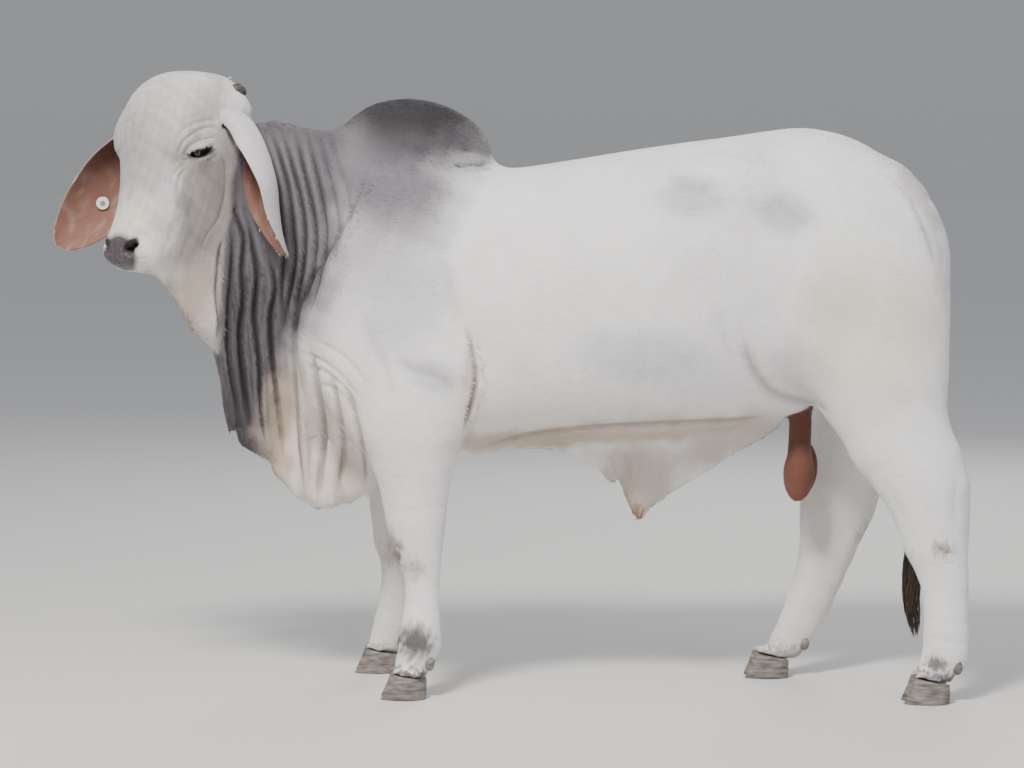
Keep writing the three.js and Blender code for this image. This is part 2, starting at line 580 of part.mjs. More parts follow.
// The tail: [x, z, half thickness, half width] down its length, lying between the buttocks
const tailLine = [[985, 1406, 25, 34], [1040, 1378, 26, 33], [1088, 1324, 25, 31], [1120, 1262, 22, 28],
  [1136, 1190, 19, 25], [1144, 1110, 17, 22], [1146, 1000, 15, 19], [1142, 880, 14, 17], [1134, 760, 12, 15],
  [1122, 640, 11, 13], [1112, 575, 11, 12]];
const switchLine = [[1112, 574.7, 11, 12], [1104, 520, 18, 17], [1092, 440, 25, 23], [1082, 360, 29, 26],
  [1077, 280, 29, 26], [1079, 210, 23, 20], [1086, 155, 13, 12], [1091, 120, 3, 3]];
function tailSolid(line, by) {
  return through(line.map(([x, z, thick, wide], i) => {
    const [before, after] = [line[Math.max(i - 1, 0)], line[Math.min(i + 1, line.length - 1)]];
    const along = new THREE.Vector2(after[0] - before[0], after[1] - before[1]).normalize();
    if (i === line.length - 1 && line === tailLine) along.set(0, -1);
    if (i === 0 && line === switchLine) along.set(0, -1);
    return [...Array(10).keys()].map((k) => {
      const angle = (k / 10) * 2 * Math.PI;
      const out = Math.cos(angle) * (thick + by);
      return [x - along.y * out, Math.sin(angle) * (wide + by), z + along.x * out];
    });
  }));
}

// Claws: two to a foot, lofted from the sole to a slanting coronet
const CLAW = { length: 61, width: 31, gap: 1.5, toeSlope: 16 };
const coronet = (leg) => [[leg.foot[0], 0, CLAW_TOP.front - 60 * CLAW_TOP.slope], [CLAW_TOP.slope, 0, 1]];
function claw(leg, side) {
  const [[cx, , cz], [slope]] = coronet(leg);
  const inner = CLAW.gap / 2;
  const rings = [0, 0.5, 1].map((share) =>
    [...Array(14).keys()].map((k) => {
      const angle = (k / 14) * 2 * Math.PI;
      const back = CLAW.toeSlope * share ** 0.8;
      const bulge = 1 - 0.2 * share ** 2;
      const dx = back * 0.9 + Math.cos(angle) * (CLAW.length - back * 0.85);
      const taper = 1 - 0.28 * Math.max(-Math.cos(angle), 0) ** 2;
      const dy = Math.max(inner, CLAW.width + Math.sin(angle) * CLAW.width * bulge * taper);
      const x = cx + dx;
      return [x, leg.out(0) + side * dy, share * (cz - slope * (x - cx) - GAP)];
    }));
  return through(rings);
}
const DEWCLAW = { half: [15, 14, 20], height: 92, apart: 25 };
function dewclawAt(leg, side) {
  const heel = leg.joints[leg.joints.length - 1];
  return [heel[0] + heel[2] * 0.93, leg.out(DEWCLAW.height) + side * DEWCLAW.apart, DEWCLAW.height];
}

// What is taken out of each region so that the separate solids fit into it
const hollows = {
  head: [...sockets, ...earSeats],
  neck: sockets,
  trunk: [tailSolid(tailLine, GAP)],
};
for (const [name, leg] of Object.entries(legs)) {
  regions[`${name}_shank`].push(coronet(leg));
  hollows[`${name}_shank`] = [-1, 1].map((side) => egg(dewclawAt(leg, side), grown(DEWCLAW.half), undefined, 7, 5));
}
const regionFinish = { head: "face_hide", hump: "grey_hide", neck: "grey_hide", dewlap: "grey_hide" };
const claimed = [];
for (const [name, planes] of Object.entries(regions)) {
  const [limits, cell] = nets[name];
  let solid = solidFrom(net(body, limits, cell));
  for (const planeOf of planes) solid = solid.intersect(halfSpace(planeOf, GAP / 2));
  for (const other of [...claimed, ...(hollows[name] ?? [])]) solid = solid.subtract(other);
  place(name, solid, regionFinish[name] ?? "white_hide");
  if (planes.length) claimed.push(common(planes.map((planeOf) => halfSpace(planeOf, -GAP / 2))));
}

// Eyes and horn buds
for (const [name, side] of [["left", LEFT], ["right", RIGHT]]) {
  const turned = (at) => fromHead(at[0], -side * at[1], at[2]);
  place(`eye_${name}`, egg(turned(EYE.at), [EYE.radius, EYE.radius, EYE.radius], headBasis), "eye");
  place(`scur_${name}`, egg(turned(SCUR.at), SCUR.half, headBasis, 8, 6), "horn");
}

// Ears: a leaf of gristle and skin, curled across its width, along a line of points.
// Each row gives the point, the way the hollow side faces, the width round the curl and the curl in degrees
const EAR = { thick: 9, around: 8 };
const earLines = {
  left: [
    [[-745, -150, 1538], [-0.5, 0.2, -0.6], 74, 120],
    [[-706, -194, 1532], [-0.7, 0.25, -0.5], 100, 118],
    [[-668, -238, 1494], [-0.85, 0.2, -0.3], 155, 104],
    [[-634, -262, 1428], [-0.95, -0.1, -0.1], 205, 86],
    [[-613, -270, 1350], [-0.95, -0.31, 0], 220, 76],
    [[-607, -268, 1275], [-0.93, -0.36, 0], 185, 70],
    [[-600, -263, 1220], [-0.9, -0.4, 0.1], 120, 60],
    [[-590, -258, 1180], [-0.88, -0.44, 0.2], 62, 50],
    [[-584, -255, 1156], [-0.88, -0.44, 0.2], 16, 30],
  ],
  right: [
    [[-885, -32, 1534], [0.1, -0.6, -0.7], 74, 120],
    [[-928, 6, 1520], [0.1, -0.8, -0.5], 110, 98],
    [[-985, 24, 1470], [0.12, -0.9, -0.3], 160, 74],
    [[-1050, 30, 1385], [0.15, -0.96, -0.2], 200, 54],
    [[-1110, 26, 1300], [0.15, -0.97, -0.15], 192, 44],
    [[-1160, 18, 1240], [0.12, -0.97, -0.1], 147, 38],
    [[-1197, 8, 1202], [0.1, -0.98, -0.1], 90, 34],
    [[-1218, 0, 1182], [0.1, -0.98, -0.1], 22, 30],
  ],
};
function earRings(rows) {
  return rows.map(([point, hollow, width, curl], i) => {
    const [before, after] = [rows[Math.max(i - 1, 0)][0], rows[Math.min(i + 1, rows.length - 1)][0]];
    const along = new THREE.Vector3(...after).sub(new THREE.Vector3(...before)).normalize();
    const facing = new THREE.Vector3(...hollow);
    facing.addScaledVector(along, -facing.dot(along)).normalize();
    const across = along.clone().cross(facing);
    const radius = width / 2 / (curl * RAD);
    const thick = Math.min(EAR.thick, width * 0.3);
    const arc = (step, r, shift) => {
      const angle = (step / (EAR.around - 1) - 0.5) * 2 * curl * RAD;
      return new THREE.Vector3(...point)
        .addScaledVector(across, Math.sin(angle) * r)
        .addScaledVector(facing, radius - Math.cos(angle) * r + shift)
        .toArray();
    };
    const edge = (step) => 1 - 0.55 * Math.abs((2 * step) / (EAR.around - 1) - 1) ** 3;
    const outer = [...Array(EAR.around).keys()].map((k) => arc(k, radius + (thick / 2) * edge(k), 0));
    const inner = [...Array(EAR.around).keys()].map((k) => arc(k, radius - (thick / 2) * edge(k), 0));
    return [...outer, ...inner.reverse()];
  });
}
const seatPlane = (side) => [
  fromHead(0, -side * EAR_SEAT.v, 0),
  leftward(0, -side, 0),
];
const TAG = { at: [-1097, 17, 1295], facing: [0.1, -0.98, -0.16], button: 17, pin: 3.5, cap: 7, back: 13 };
function disc(radius, from, to) {
  const cylinder = new THREE.CylinderGeometry(radius, radius, to - from, 12);
  cylinder.translate(0, (from + to) / 2, 0);
  const facing = new THREE.Vector3(...TAG.facing).normalize();
  cylinder.applyQuaternion(new THREE.Quaternion().setFromUnitVectors(new THREE.Vector3(0, 1, 0), facing));
  cylinder.translate(...TAG.at);
  return solidOf(cylinder);
}
for (const [name, side] of [["left", LEFT], ["right", RIGHT]]) {
  let solid = through(earRings(earLines[name])).intersect(halfSpace(seatPlane(side), GAP / 2));
  if (side === RIGHT) solid = solid.subtract(disc(TAG.pin + GAP, -40, 40));
  place(`ear_${name}`, solid, "pink_skin");
}
place("ear_tag", disc(TAG.button, -2, 3).subtract(disc(TAG.cap + GAP, -9, 9)), "tag_white");
place("ear_tag_pin", disc(TAG.pin, -20, 0).add(disc(TAG.back, -22, -18)).add(disc(TAG.cap, -2, 4.5)), "tag_grey");

// The tail with its switch, and the scrotum
place("tail", tailSolid(tailLine, 0), "white_hide");
place("tail_switch", tailSolid(switchLine, 0), "black_hair");
const GROIN = 770;
const scrotumLobes = [
  lobe([768, -42, 560], [47, 44, 66], 0, 4),
  lobe([784, 36, 566], [45, 42, 64], 0, 4),
  limb([[776, -8, 780, 30], [775, -6, 640, 38]]),
];
const scrotum = (x, y, z) => scrotumLobes.reduce((all, part) => blend(all, part(x, y, z), 22), 1e9);
const belly = net(body, ...nets.trunk);
const underBelly = { ...belly, points: belly.points.map(([x, y, z]) => [x, y, z - GAP]) };
const scrotumNet = net(scrotum, [[680, -140, 450], [880, 130, 850]], [30, 30, 36]);
place(
  "scrotum",
  solidFrom(scrotumNet).intersect(halfSpace([[0, 0, GROIN], [0, 0, -1]], GAP)).subtract(solidFrom(underBelly)),
  "tan_skin",
);

// Claws and dewclaws
for (const [name, leg] of Object.entries(legs))
  for (const [end, side] of [["outer", leg.side], ["inner", -leg.side]]) {
    place(`${name}_claw_${end}`, claw(leg, side), "horn");
    place(`${name}_dewclaw_${end}`, egg(dewclawAt(leg, side), DEWCLAW.half, undefined, 7, 5), "horn");
  }

bull.position.set(-FRAME_CENTRE.x, -FRAME_CENTRE.y, 0);
const model = new THREE.Group();
model.add(bull);

export default model;
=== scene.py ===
# %% [markdown]
# # A grey Brahman bull
# The real animal stands square to the camera with its head turned towards it. Its hide is short
# and lies flat, so the shape of the body, the hang of the loose skin and the colour of the coat
# do most of the work. The lesson starts from the CAD model of the bull, grows one skin out of its
# pieces of flesh, presses the folds into it, and then lays the coat over it.

import bpy
import json
import math
import numpy as np
from mathutils import Matrix, Vector
from mathutils.kdtree import KDTree

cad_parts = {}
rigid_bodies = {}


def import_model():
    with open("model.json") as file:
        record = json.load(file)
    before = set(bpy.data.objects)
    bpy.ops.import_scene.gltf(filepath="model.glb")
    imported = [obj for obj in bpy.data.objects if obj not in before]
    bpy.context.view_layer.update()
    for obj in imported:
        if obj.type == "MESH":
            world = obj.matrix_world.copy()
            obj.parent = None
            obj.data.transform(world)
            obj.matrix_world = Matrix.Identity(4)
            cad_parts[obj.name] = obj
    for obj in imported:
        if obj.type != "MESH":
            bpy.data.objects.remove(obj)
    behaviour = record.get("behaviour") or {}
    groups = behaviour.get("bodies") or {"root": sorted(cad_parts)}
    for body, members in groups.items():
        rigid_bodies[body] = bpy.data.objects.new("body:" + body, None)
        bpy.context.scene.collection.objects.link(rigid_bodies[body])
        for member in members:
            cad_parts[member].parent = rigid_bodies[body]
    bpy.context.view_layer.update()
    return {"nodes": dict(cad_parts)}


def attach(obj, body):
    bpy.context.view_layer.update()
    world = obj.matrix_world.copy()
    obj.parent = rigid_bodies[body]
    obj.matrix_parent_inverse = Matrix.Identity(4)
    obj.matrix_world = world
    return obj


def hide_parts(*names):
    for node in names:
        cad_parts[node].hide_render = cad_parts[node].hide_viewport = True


for thing in list(bpy.data.objects):
    bpy.data.objects.remove(thing)
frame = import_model()
chance = np.random.default_rng(11)

# %% [markdown]
# ## Choosing what an operator acts on
# An operator acts on all that is selected, so each step first lets go of everything and then takes
# hold of its own piece. Points are read and written as one array, which is quick enough to press
# hundreds of folds into the skin.

# %% Choose a piece, read its points, write them back
def choose(*things):
    bpy.ops.object.select_all(action="DESELECT")
    for thing in things:
        thing.select_set(True)
    bpy.context.view_layer.objects.active = things[0]
    return things[0]


def points_of(piece):
    places = np.empty(len(piece.data.vertices) * 3)
    piece.data.vertices.foreach_get("co", places)
    return places.reshape(-1, 3)


def move_points(piece, places):
    piece.data.vertices.foreach_set("co", places.ravel())
    piece.data.update()


def facing_of(piece):
    ways = np.empty(len(piece.data.vertices) * 3)
    piece.data.vertex_normals.foreach_get("vector", ways)
    return ways.reshape(-1, 3)


def change(piece, kind, **values):
    choose(piece)
    modifier = piece.modifiers.new(kind.title(), kind)
    for name, value in values.items():
        setattr(modifier, name, value)
    bpy.ops.object.modifier_apply(modifier=modifier.name)


def faces_of(piece):
    return sum(len(p.vertices) - 2 for p in piece.data.polygons)


# %% [markdown]
# ## Soft steps and lines
# Folds, bulges and patches of colour all fade out softly. A soft step goes from 0 to 1 between
# two values, and a drawn line gives each point its distance from a line and how far along it is.

# %% Soft steps, lines and tables of values
def soft_step(start, end, value):
    share = np.clip((value - start) / (end - start), 0, 1)
    return share * share * (3 - 2 * share)


def follow(table, value):
    at, values = np.array(table, float).T
    return np.interp(value, at, values)


def smooth_path(stops, count):
    stops = np.array(stops, float)
    at = np.linspace(0, len(stops) - 1, count)
    before = np.clip(at.astype(int), 0, len(stops) - 2)
    share = (at - before)[:, None]
    slopes = np.gradient(stops, axis=0)
    a, b, va, vb = stops[before], stops[before + 1], slopes[before], slopes[before + 1]
    s2, s3 = share**2, share**3
    return a * (2 * s3 - 3 * s2 + 1) + va * (s3 - 2 * s2 + share) + b * (3 * s2 - 2 * s3) + vb * (s3 - s2)


def from_line(places, stops):
    """How far each place is from a line, and how far along it, from 0 to 1."""
    stops = np.array(stops, float)
    lengths = np.linalg.norm(np.diff(stops, axis=0), axis=1)
    run = np.concatenate([[0], np.cumsum(lengths)])
    gap = np.full(len(places), np.inf)
    along = np.zeros(len(places))
    for i, (start, end) in enumerate(zip(stops[:-1], stops[1:])):
        way = (end - start) / lengths[i]
        reach = np.clip((places - start) @ way, 0, lengths[i])
        off = places - start - reach[:, None] * way
        far = np.linalg.norm(off, axis=1)
        near = far < gap
        gap = np.where(near, far, gap)
        along = np.where(near, (run[i] + reach) / run[-1], along)
    return gap, along


# %% [markdown]
# ## One skin over all the flesh
# The CAD model is cut into pieces that meet face to face, and a living hide has no cuts. Copies of
# the pieces of flesh are joined, with a short plug in the neck of the scrotum, swollen by a hair's
# breadth so that the cuts close, and remeshed with small cubes into one skin. Smoothing then takes
# the flat faces of the CAD model away.

# %% Join copies of the flesh and remesh them
LEGS = ("foreleg_left", "foreleg_right", "hindleg_left", "hindleg_right")
FLESH = ["head", "hump", "neck", "dewlap", "trunk", "sheath", "scrotum", "tail"]
FLESH += [f"{leg}_{part}" for leg in LEGS for part in (("arm" if "fore" in leg else "thigh"), "shank")]
FILLING = ["eye_left", "eye_right"]
SAME_POINT = 0.00005
SWELLING = 0.0012
SKIN_CUBE = 0.007
PLUG_RADIUS, PLUG_LENGTH = 0.026, 0.16
PLUG_AT = (0.789, 0.002, 0.74)


def copy_of(names, title):
    copies = []
    for name in names:
        node = frame["nodes"][name]
        copy = node.copy()
        copy.data = node.data.copy()
        copy.parent = None
        copy.matrix_world = Matrix()
        bpy.context.collection.objects.link(copy)
        copies.append(copy)
    piece = choose(*copies)
    if len(copies) > 1:
        bpy.ops.object.join()
    piece.name = piece.data.name = title
    piece.data.materials.clear()
    return piece


skin = copy_of(FLESH + FILLING, "skin")
bpy.ops.object.select_all(action="DESELECT")
bpy.ops.mesh.primitive_cylinder_add(vertices=16, radius=PLUG_RADIUS, depth=PLUG_LENGTH, location=PLUG_AT)
choose(skin, bpy.context.object)
bpy.ops.object.join()
change(skin, "WELD", merge_threshold=SAME_POINT)
change(skin, "DISPLACE", strength=SWELLING, mid_level=0.0)
change(skin, "REMESH", mode="VOXEL", voxel_size=SKIN_CUBE)
print("Skin after the remesh:", len(skin.data.vertices), "points")

# %% [markdown]
# The remesh still shows the flat faces of the CAD model. Its true shape is a sum of soft masses:
# a barrel with its own top line and keel, lobes of muscle, tapering legs, and sheets of loose
# skin. Each mass is written as a distance in millimetres, and the masses are joined with fillets.
# The points of the skin are then moved until that distance is nothing, so the faces melt away.

# %% Soft masses: curves, lobes, limbs and their fillets
def curve(*keys):
    at, values = np.array(keys, float).T
    slopes = np.gradient(values)
    slopes[1:-1] = (values[2:] - values[:-2]) / (at[2:] - at[:-2])
    slopes[0] = (values[1] - values[0]) / (at[1] - at[0])
    slopes[-1] = (values[-1] - values[-2]) / (at[-1] - at[-2])
    fine = np.linspace(at[0], at[-1], 600)
    i = np.clip(np.searchsorted(at, fine, "right") - 1, 0, len(at) - 2)
    width = at[i + 1] - at[i]
    t = (fine - at[i]) / width
    low = (2 * t**3 - 3 * t**2 + 1) * values[i] + (t**3 - 2 * t**2 + t) * width * slopes[i]
    high = (3 * t**2 - 2 * t**3) * values[i + 1] + (t**3 - t**2) * width * slopes[i + 1]
    table = low + high
    return lambda value: np.interp(value, fine, table)


def fillet(a, b, soft):
    near = np.maximum(soft - np.abs(a - b), 0) / soft
    return np.minimum(a, b) - near * near * soft / 4


def turned(yaw, pitch):
    about_up = Matrix.Rotation(math.radians(yaw), 3, "Z")
    about_side = Matrix.Rotation(math.radians(pitch), 3, "Y")
    return np.array(about_up) @ np.array(about_side)


def lobe(places, centre, half, yaw=0, pitch=0):
    own = (places - centre) @ turned(yaw, pitch)
    k0 = np.linalg.norm(own / half, axis=1)
    k1 = np.linalg.norm(own / np.square(half), axis=1)
    return k0 * (k0 - 1) / np.maximum(k1, 1e-9)


def limb(places, joints, flat, soft=12):
    squeeze = np.array([1, flat, 1])
    joints = np.array(joints, float)
    ends, radii = joints[:, :3] / squeeze, joints[:, 3]
    places = places / squeeze
    whole = None
    for i in range(len(ends) - 1):
        way = ends[i + 1] - ends[i]
        t = np.clip((places - ends[i]) @ way / (way @ way), 0, 1)
        away = np.linalg.norm(places - ends[i] - t[:, None] * way, axis=1)
        rod = (away - radii[i] - t * (radii[i + 1] - radii[i])) * min(flat, 1)
        whole = rod if whole is None else fillet(whole, rod, soft)
    return whole


def rounded(across, up, power):
    return (np.abs(across) ** power + np.abs(up) ** power) ** (1 / power)


# %% [markdown]
# The barrel is widest at the ribs and narrows to the pin bones. Muscles and bones that show
# through the hide, such as the shoulder blade, the hook bone and the rump, are lobes on both sides.

# %% The barrel, its muscles and the hump
BACK = curve((-620, 1440), (-400, 1415), (-200, 1392), (-30, 1388), (130, 1408), (290, 1434), (450, 1458),
             (560, 1472), (665, 1488), (758, 1500), (825, 1494), (906, 1472), (986, 1424), (1040, 1360),
             (1085, 1285), (1115, 1215))
KEEL = curve((-560, 760), (-450, 660), (-300, 612), (-120, 612), (60, 650), (200, 656), (400, 658),
             (520, 680), (640, 704), (740, 722), (820, 760), (920, 900), (1040, 1050), (1140, 1150))
HALF_WIDTH = curve((-640, 60), (-560, 150), (-450, 215), (-300, 262), (-100, 305), (100, 336), (300, 350),
                   (450, 340), (600, 305), (758, 268), (900, 235), (1000, 195), (1070, 135), (1115, 60))
PAIRED_MASSES = [
    [(-318, 190, 1130), (175, 96, 290), 14, 90],
    [(-330, 225, 830), (165, 92, 190), -22, 80],
    [(-215, 228, 800), (120, 88, 170), 18, 70],
    [(560, 215, 1330), (110, 62, 70), 0, 90],
    [(905, 165, 1120), (235, 130, 290), 14, 90],
    [(970, 185, 940), (178, 118, 260), 0, 80],
    [(1040, 108, 1120), (106, 90, 205), 0, 40],
]
MIDDLE_MASSES = [
    [(-470, 0, 900), (140, 170, 250), 0, -10, 80],
    [(-580, -8, 1218), (225, 150, 270), 4, 10, 90],
    [(-715, -48, 1262), (160, 132, 238), 24, 12, 80],
    [(-805, -116, 1390), (122, 118, 190), 40, 4, 60],
    [(-838, -152, 1215), (92, 82, 165), 50, -8, 50],
    [(-330, 0, 1400), (165, 105, 130), 0, -8, 60],
    [(-255, 0, 1465), (185, 92, 112), 0, 8, 50],
    [(-150, 0, 1452), (98, 72, 68), 0, 16, 30],
    [(-290, 0, 1318), (215, 182, 150), 0, 0, 90],
]


def barrel_shape(places):
    x, y, z = places.T
    top, keel, half = BACK(x), KEEL(x), HALF_WIDTH(x)
    middle = (top + keel) / 2
    tall = (top - keel) / 2
    share = rounded(y / half, (z - middle) / tall, np.where(z > middle, 2.15, 2.3))
    whole = np.maximum((share - 1) * np.minimum(half, tall), np.maximum(-620 - x, x - 1105))
    same = np.abs(places * (0, 1, 0)) + places * (1, 0, 1)
    for centre, half, pitch, soft in PAIRED_MASSES:
        whole = fillet(whole, lobe(same, centre, half, 0, pitch), soft)
    for centre, half, yaw, pitch, soft in MIDDLE_MASSES:
        whole = fillet(whole, lobe(places, centre, half, yaw, pitch), soft)
    return whole


# %% [markdown]
# Loose skin hangs from the throat to the breast and again under the belly. Each is a sheet with
# its own hem and thickness. The dewlap follows the bend of the neck and falls in pleats.

# %% Dewlap, sheath and throat pouch
NECK_BEND = curve((-1000, -330), (-960, -285), (-880, -195), (-800, -118), (-700, -50), (-600, -14),
                  (-500, -2), (-350, 0))
DEWLAP_HEM = curve((-960, 1250), (-925, 1120), (-890, 1050), (-861, 990), (-828, 938), (-800, 912),
                   (-786, 865), (-773, 800), (-766, 735), (-750, 672), (-720, 640), (-672, 612), (-640, 560),
                   (-600, 522), (-555, 474), (-500, 470), (-445, 482), (-400, 492), (-372, 516), (-350, 560),
                   (-325, 620))
DEWLAP_THICK = curve((0, 27), (60, 33), (200, 40), (400, 60), (600, 80))
SHEATH_HEM = curve((-140, 640), (-50, 640), (100, 634), (170, 610), (236, 572), (262, 538), (285, 548),
                   (305, 500), (330, 452), (352, 452), (380, 482), (437, 520), (540, 582), (610, 628),
                   (690, 672), (760, 740))
SHEATH_THICK = curve((0, 30), (60, 34), (140, 52), (260, 70))


def hanging(x, y, z, hem, thick, shift):
    slope = (NECK_BEND(x + 5) - NECK_BEND(x - 5)) / 10
    side = np.abs(y - shift) / np.hypot(1, slope)
    below = (hem(x) - z) / np.hypot(1, (hem(x + 5) - hem(x - 5)) / 10)
    half = thick(z - hem(x))
    under = below + half
    return np.hypot(side, np.maximum(under, 0)) - half + np.minimum(0, under) * 0.02


def loose_skin(places):
    x, y, z = places.T
    pleat = 20 * np.sin(x / 92 * 2 * np.pi) * soft_step(1150, 760, z) * soft_step(-900, -780, x)
    dewlap = hanging(x, y, z, DEWLAP_HEM, DEWLAP_THICK, NECK_BEND(x) + pleat)
    dewlap = np.maximum(np.maximum(dewlap, x + 330), np.maximum(-985 - x, z - 1200))
    pouch = lobe(places, (-806, -168, 1062), (40, 40, 135), 40, -14)
    sheath = hanging(x, y, z, SHEATH_HEM, SHEATH_THICK, 0)
    sheath = np.maximum(np.maximum(sheath, -120 - x), np.maximum(x - 720, z - 800))
    return dewlap, pouch, sheath


# %% [markdown]
# Each leg is a chain of tapering rods from the elbow or stifle to the pastern, flattened a little
# from side to side, with two toes at its foot.

# %% Legs and feet
LEG_LINES = {
    "foreleg_left": (0.86, ((0, -222), (300, -214), (640, -225), (800, -205)), (-286, 0.02), [
        (-270, 760, 128), (-258, 690, 122), (-257, 616, 106),
        (-255, 553, 91), (-251, 477, 81), (-247, 424, 70),
        (-243, 377, 60), (-236, 330, 49), (-235, 262, 46),
        (-239, 200, 52), (-240, 145, 55), (-262, 88, 50)]),
    "foreleg_right": (0.86, ((0, 195), (300, 194), (640, 215), (800, 205)), (-374, -0.05), [
        (-285, 760, 128), (-292, 690, 122), (-302, 616, 106),
        (-310, 553, 90), (-317, 470, 80), (-322, 410, 66),
        (-327, 366, 57), (-316, 310, 48), (-316, 250, 46),
        (-320, 200, 50), (-328, 140, 53), (-348, 88, 50)]),
    "hindleg_left": (0.78, ((0, -288), (300, -262), (545, -245), (760, -205)), (1076, -0.12), [
        (975, 790, 160), (1010, 690, 138), (1056, 610, 124),
        (1085, 545, 112), (1098, 477, 97), (1105, 416, 86),
        (1120, 353, 70), (1130, 305, 62), (1132, 240, 59),
        (1132, 175, 60), (1130, 130, 59), (1108, 86, 54)]),
    "hindleg_right": (0.78, ((0, 112), (300, 145), (545, 178), (760, 200)), (695, 0.18), [
        (925, 790, 160), (925, 690, 140), (918, 600, 124),
        (906, 530, 114), (896, 470, 105), (882, 416, 92),
        (868, 352, 78), (846, 280, 68), (815, 200, 64), (790, 143, 58), (752, 86, 52)]),
}


def leg_shape(places, leg):
    flat, stance, (toe, turn), joints = LEG_LINES[leg]
    out = curve(*stance)
    whole = limb(places, [(x, out(z), z, r) for x, z, r in joints], flat)
    for side in (-1, 1):
        foot = lobe(places, (toe - 6, out(0) + side * 33, 16), (72, 34, 66), side * 5 + turn * 40, -14)
        whole = fillet(whole, foot, 14)
    return whole


# %% [markdown]
# The head has its own frame, because it is turned towards the camera: u runs down the face from
# the poll, v to the bull's left, and w out of the face. Its outline is a face line, a jaw line and
# a half width, and lobes give the brow, the lids, the cheek, the nostrils, the lips and the chin.

# %% The head in its own frame
POLL = np.array((-932, -240, 1630))
YAW, SLOPE = math.radians(50), math.radians(73)
DOWN = np.array((-math.cos(SLOPE) * math.cos(YAW), -math.cos(SLOPE) * math.sin(YAW), -math.sin(SLOPE)))
LEFTWARD = np.array((math.sin(YAW), -math.cos(YAW), 0))
OUT = np.cross(DOWN, LEFTWARD)
HEAD_AXES = np.array((DOWN, LEFTWARD, OUT))
FACE = curve((-62, -205), (-52, -150), (-34, -92), (-10, -52), (25, -18), (60, 0), (100, 9), (140, 12),
             (190, 6), (240, -6), (310, -14), (390, -18), (435, -20), (472, -34), (496, -60), (508, -92))
JAW = curve((-62, -236), (-50, -262), (-25, -282), (40, -290), (100, -286), (160, -276), (230, -240),
            (310, -196), (390, -160), (440, -142), (475, -132), (496, -118), (508, -98))
FACE_WIDTH = curve((-62, 36), (-52, 72), (-32, 98), (5, 114), (60, 122), (110, 124), (165, 124), (225, 110),
                   (295, 89), (360, 80), (410, 84), (445, 92), (470, 90), (490, 76), (508, 38))
HEAD_MASSES = [
    [(24, 0, -150), (72, 100, 92), 0, 40],
    [(145, 94, -52), (60, 34, 42), 8, 30],
    [(188, 104, -108), (40, 28, 38), 6, 22],
    [(275, 72, -98), (90, 22, 30), 14, 40],
    [(195, 84, -180), (88, 40, 66), 4, 50],
    [(460, 36, -50), (36, 36, 30), 0, 24],
    [(466, 0, -62), (36, 58, 36), 0, 26],
    [(456, 44, -104), (42, 44, 34), 0, 26],
    [(455, 0, -126), (34, 46, 20), 0, 20],
    [(350, 0, -188), (132, 93, 82), 0, 50],
    [(302, 54, -152), (100, 36, 66), 0, 50],
    [(34, 102, -222), (48, 36, 50), 0, 40],
]


MUZZLE_SHIFT = 12
MUZZLE_SHIFT_FROM, MUZZLE_SHIFT_TO = 300, 460


def muzzle_shift(down):
    """How far the muzzle is swung to the bull's right, in millimetres."""
    return MUZZLE_SHIFT * soft_step(MUZZLE_SHIFT_FROM, MUZZLE_SHIFT_TO, down)


def in_head(places):
    own = (places - POLL) @ HEAD_AXES.T
    own[:, 1] += muzzle_shift(own[:, 0])
    return own


def head_shape(places):
    own = in_head(places)
    same = np.abs(own * (0, 1, 0)) + own * (1, 0, 1)
    u, v, w = same.T
    face, jaw = FACE(u), JAW(u)
    middle = jaw + (face - jaw) * 0.6
    over = w > middle
    tall = np.where(over, face - middle, middle - jaw)
    narrow = np.where(over, 0, 0.22 * soft_step(0, 1, (middle - w) / tall) * soft_step(40, 150, u))
    half = FACE_WIDTH(u) * (1 - narrow)
    share = rounded(v / half, (w - middle) / tall, 2.35 + 0.5 * soft_step(150, 60, u))
    whole = np.maximum((share - 1) * np.minimum(half, tall), np.maximum(-62 - u, u - 508))
    for centre, half, yaw, soft in HEAD_MASSES:
        whole = fillet(whole, lobe(same, centre, half, yaw), soft)
    return whole


# %% The whole animal, and the move of the skin's points onto it
ROW_FRAME = np.array([0.0127, 0.0092, 0.0])
TAIL = [(985, 0, 1406, 25), (1040, 0, 1378, 26), (1088, 0, 1324, 25), (1120, 0, 1262, 22),
        (1136, 0, 1190, 19), (1144, 0, 1110, 17), (1146, 0, 1000, 15), (1142, 0, 880, 14),
        (1134, 0, 760, 12), (1122, 0, 640, 11), (1112, 0, 575, 11)]
SCROTUM = [[(768, -40, 574), (44, 42, 79), 0, 3], [(786, 34, 580), (42, 40, 77), 0, 3]]


def bull_shape(places):
    whole = barrel_shape(places)
    for leg in LEG_LINES:
        whole = fillet(whole, leg_shape(places, leg), 60)
    whole = fillet(whole, head_shape(places), 40)
    dewlap, pouch, sheath = loose_skin(places)
    for part, soft in ((dewlap, 45), (pouch, 30), (sheath, 30)):
        whole = fillet(whole, part, soft)
    bag = fillet(*[lobe(places, *egg) for egg in SCROTUM], 22)
    bag = fillet(bag, limb(places, [(776, -12, 800, 31), (772, -14, 640, 33)], 1), 22)
    return fillet(fillet(whole, bag, 16), limb(places, TAIL, 1.25), 14)


def in_millimetres(places):
    return (places - ROW_FRAME) * 1000


COAT_DEPTH = 2.5
LEAST_SLOPE = 0.3
FEET_FROM, FEET_TO = 56, 84


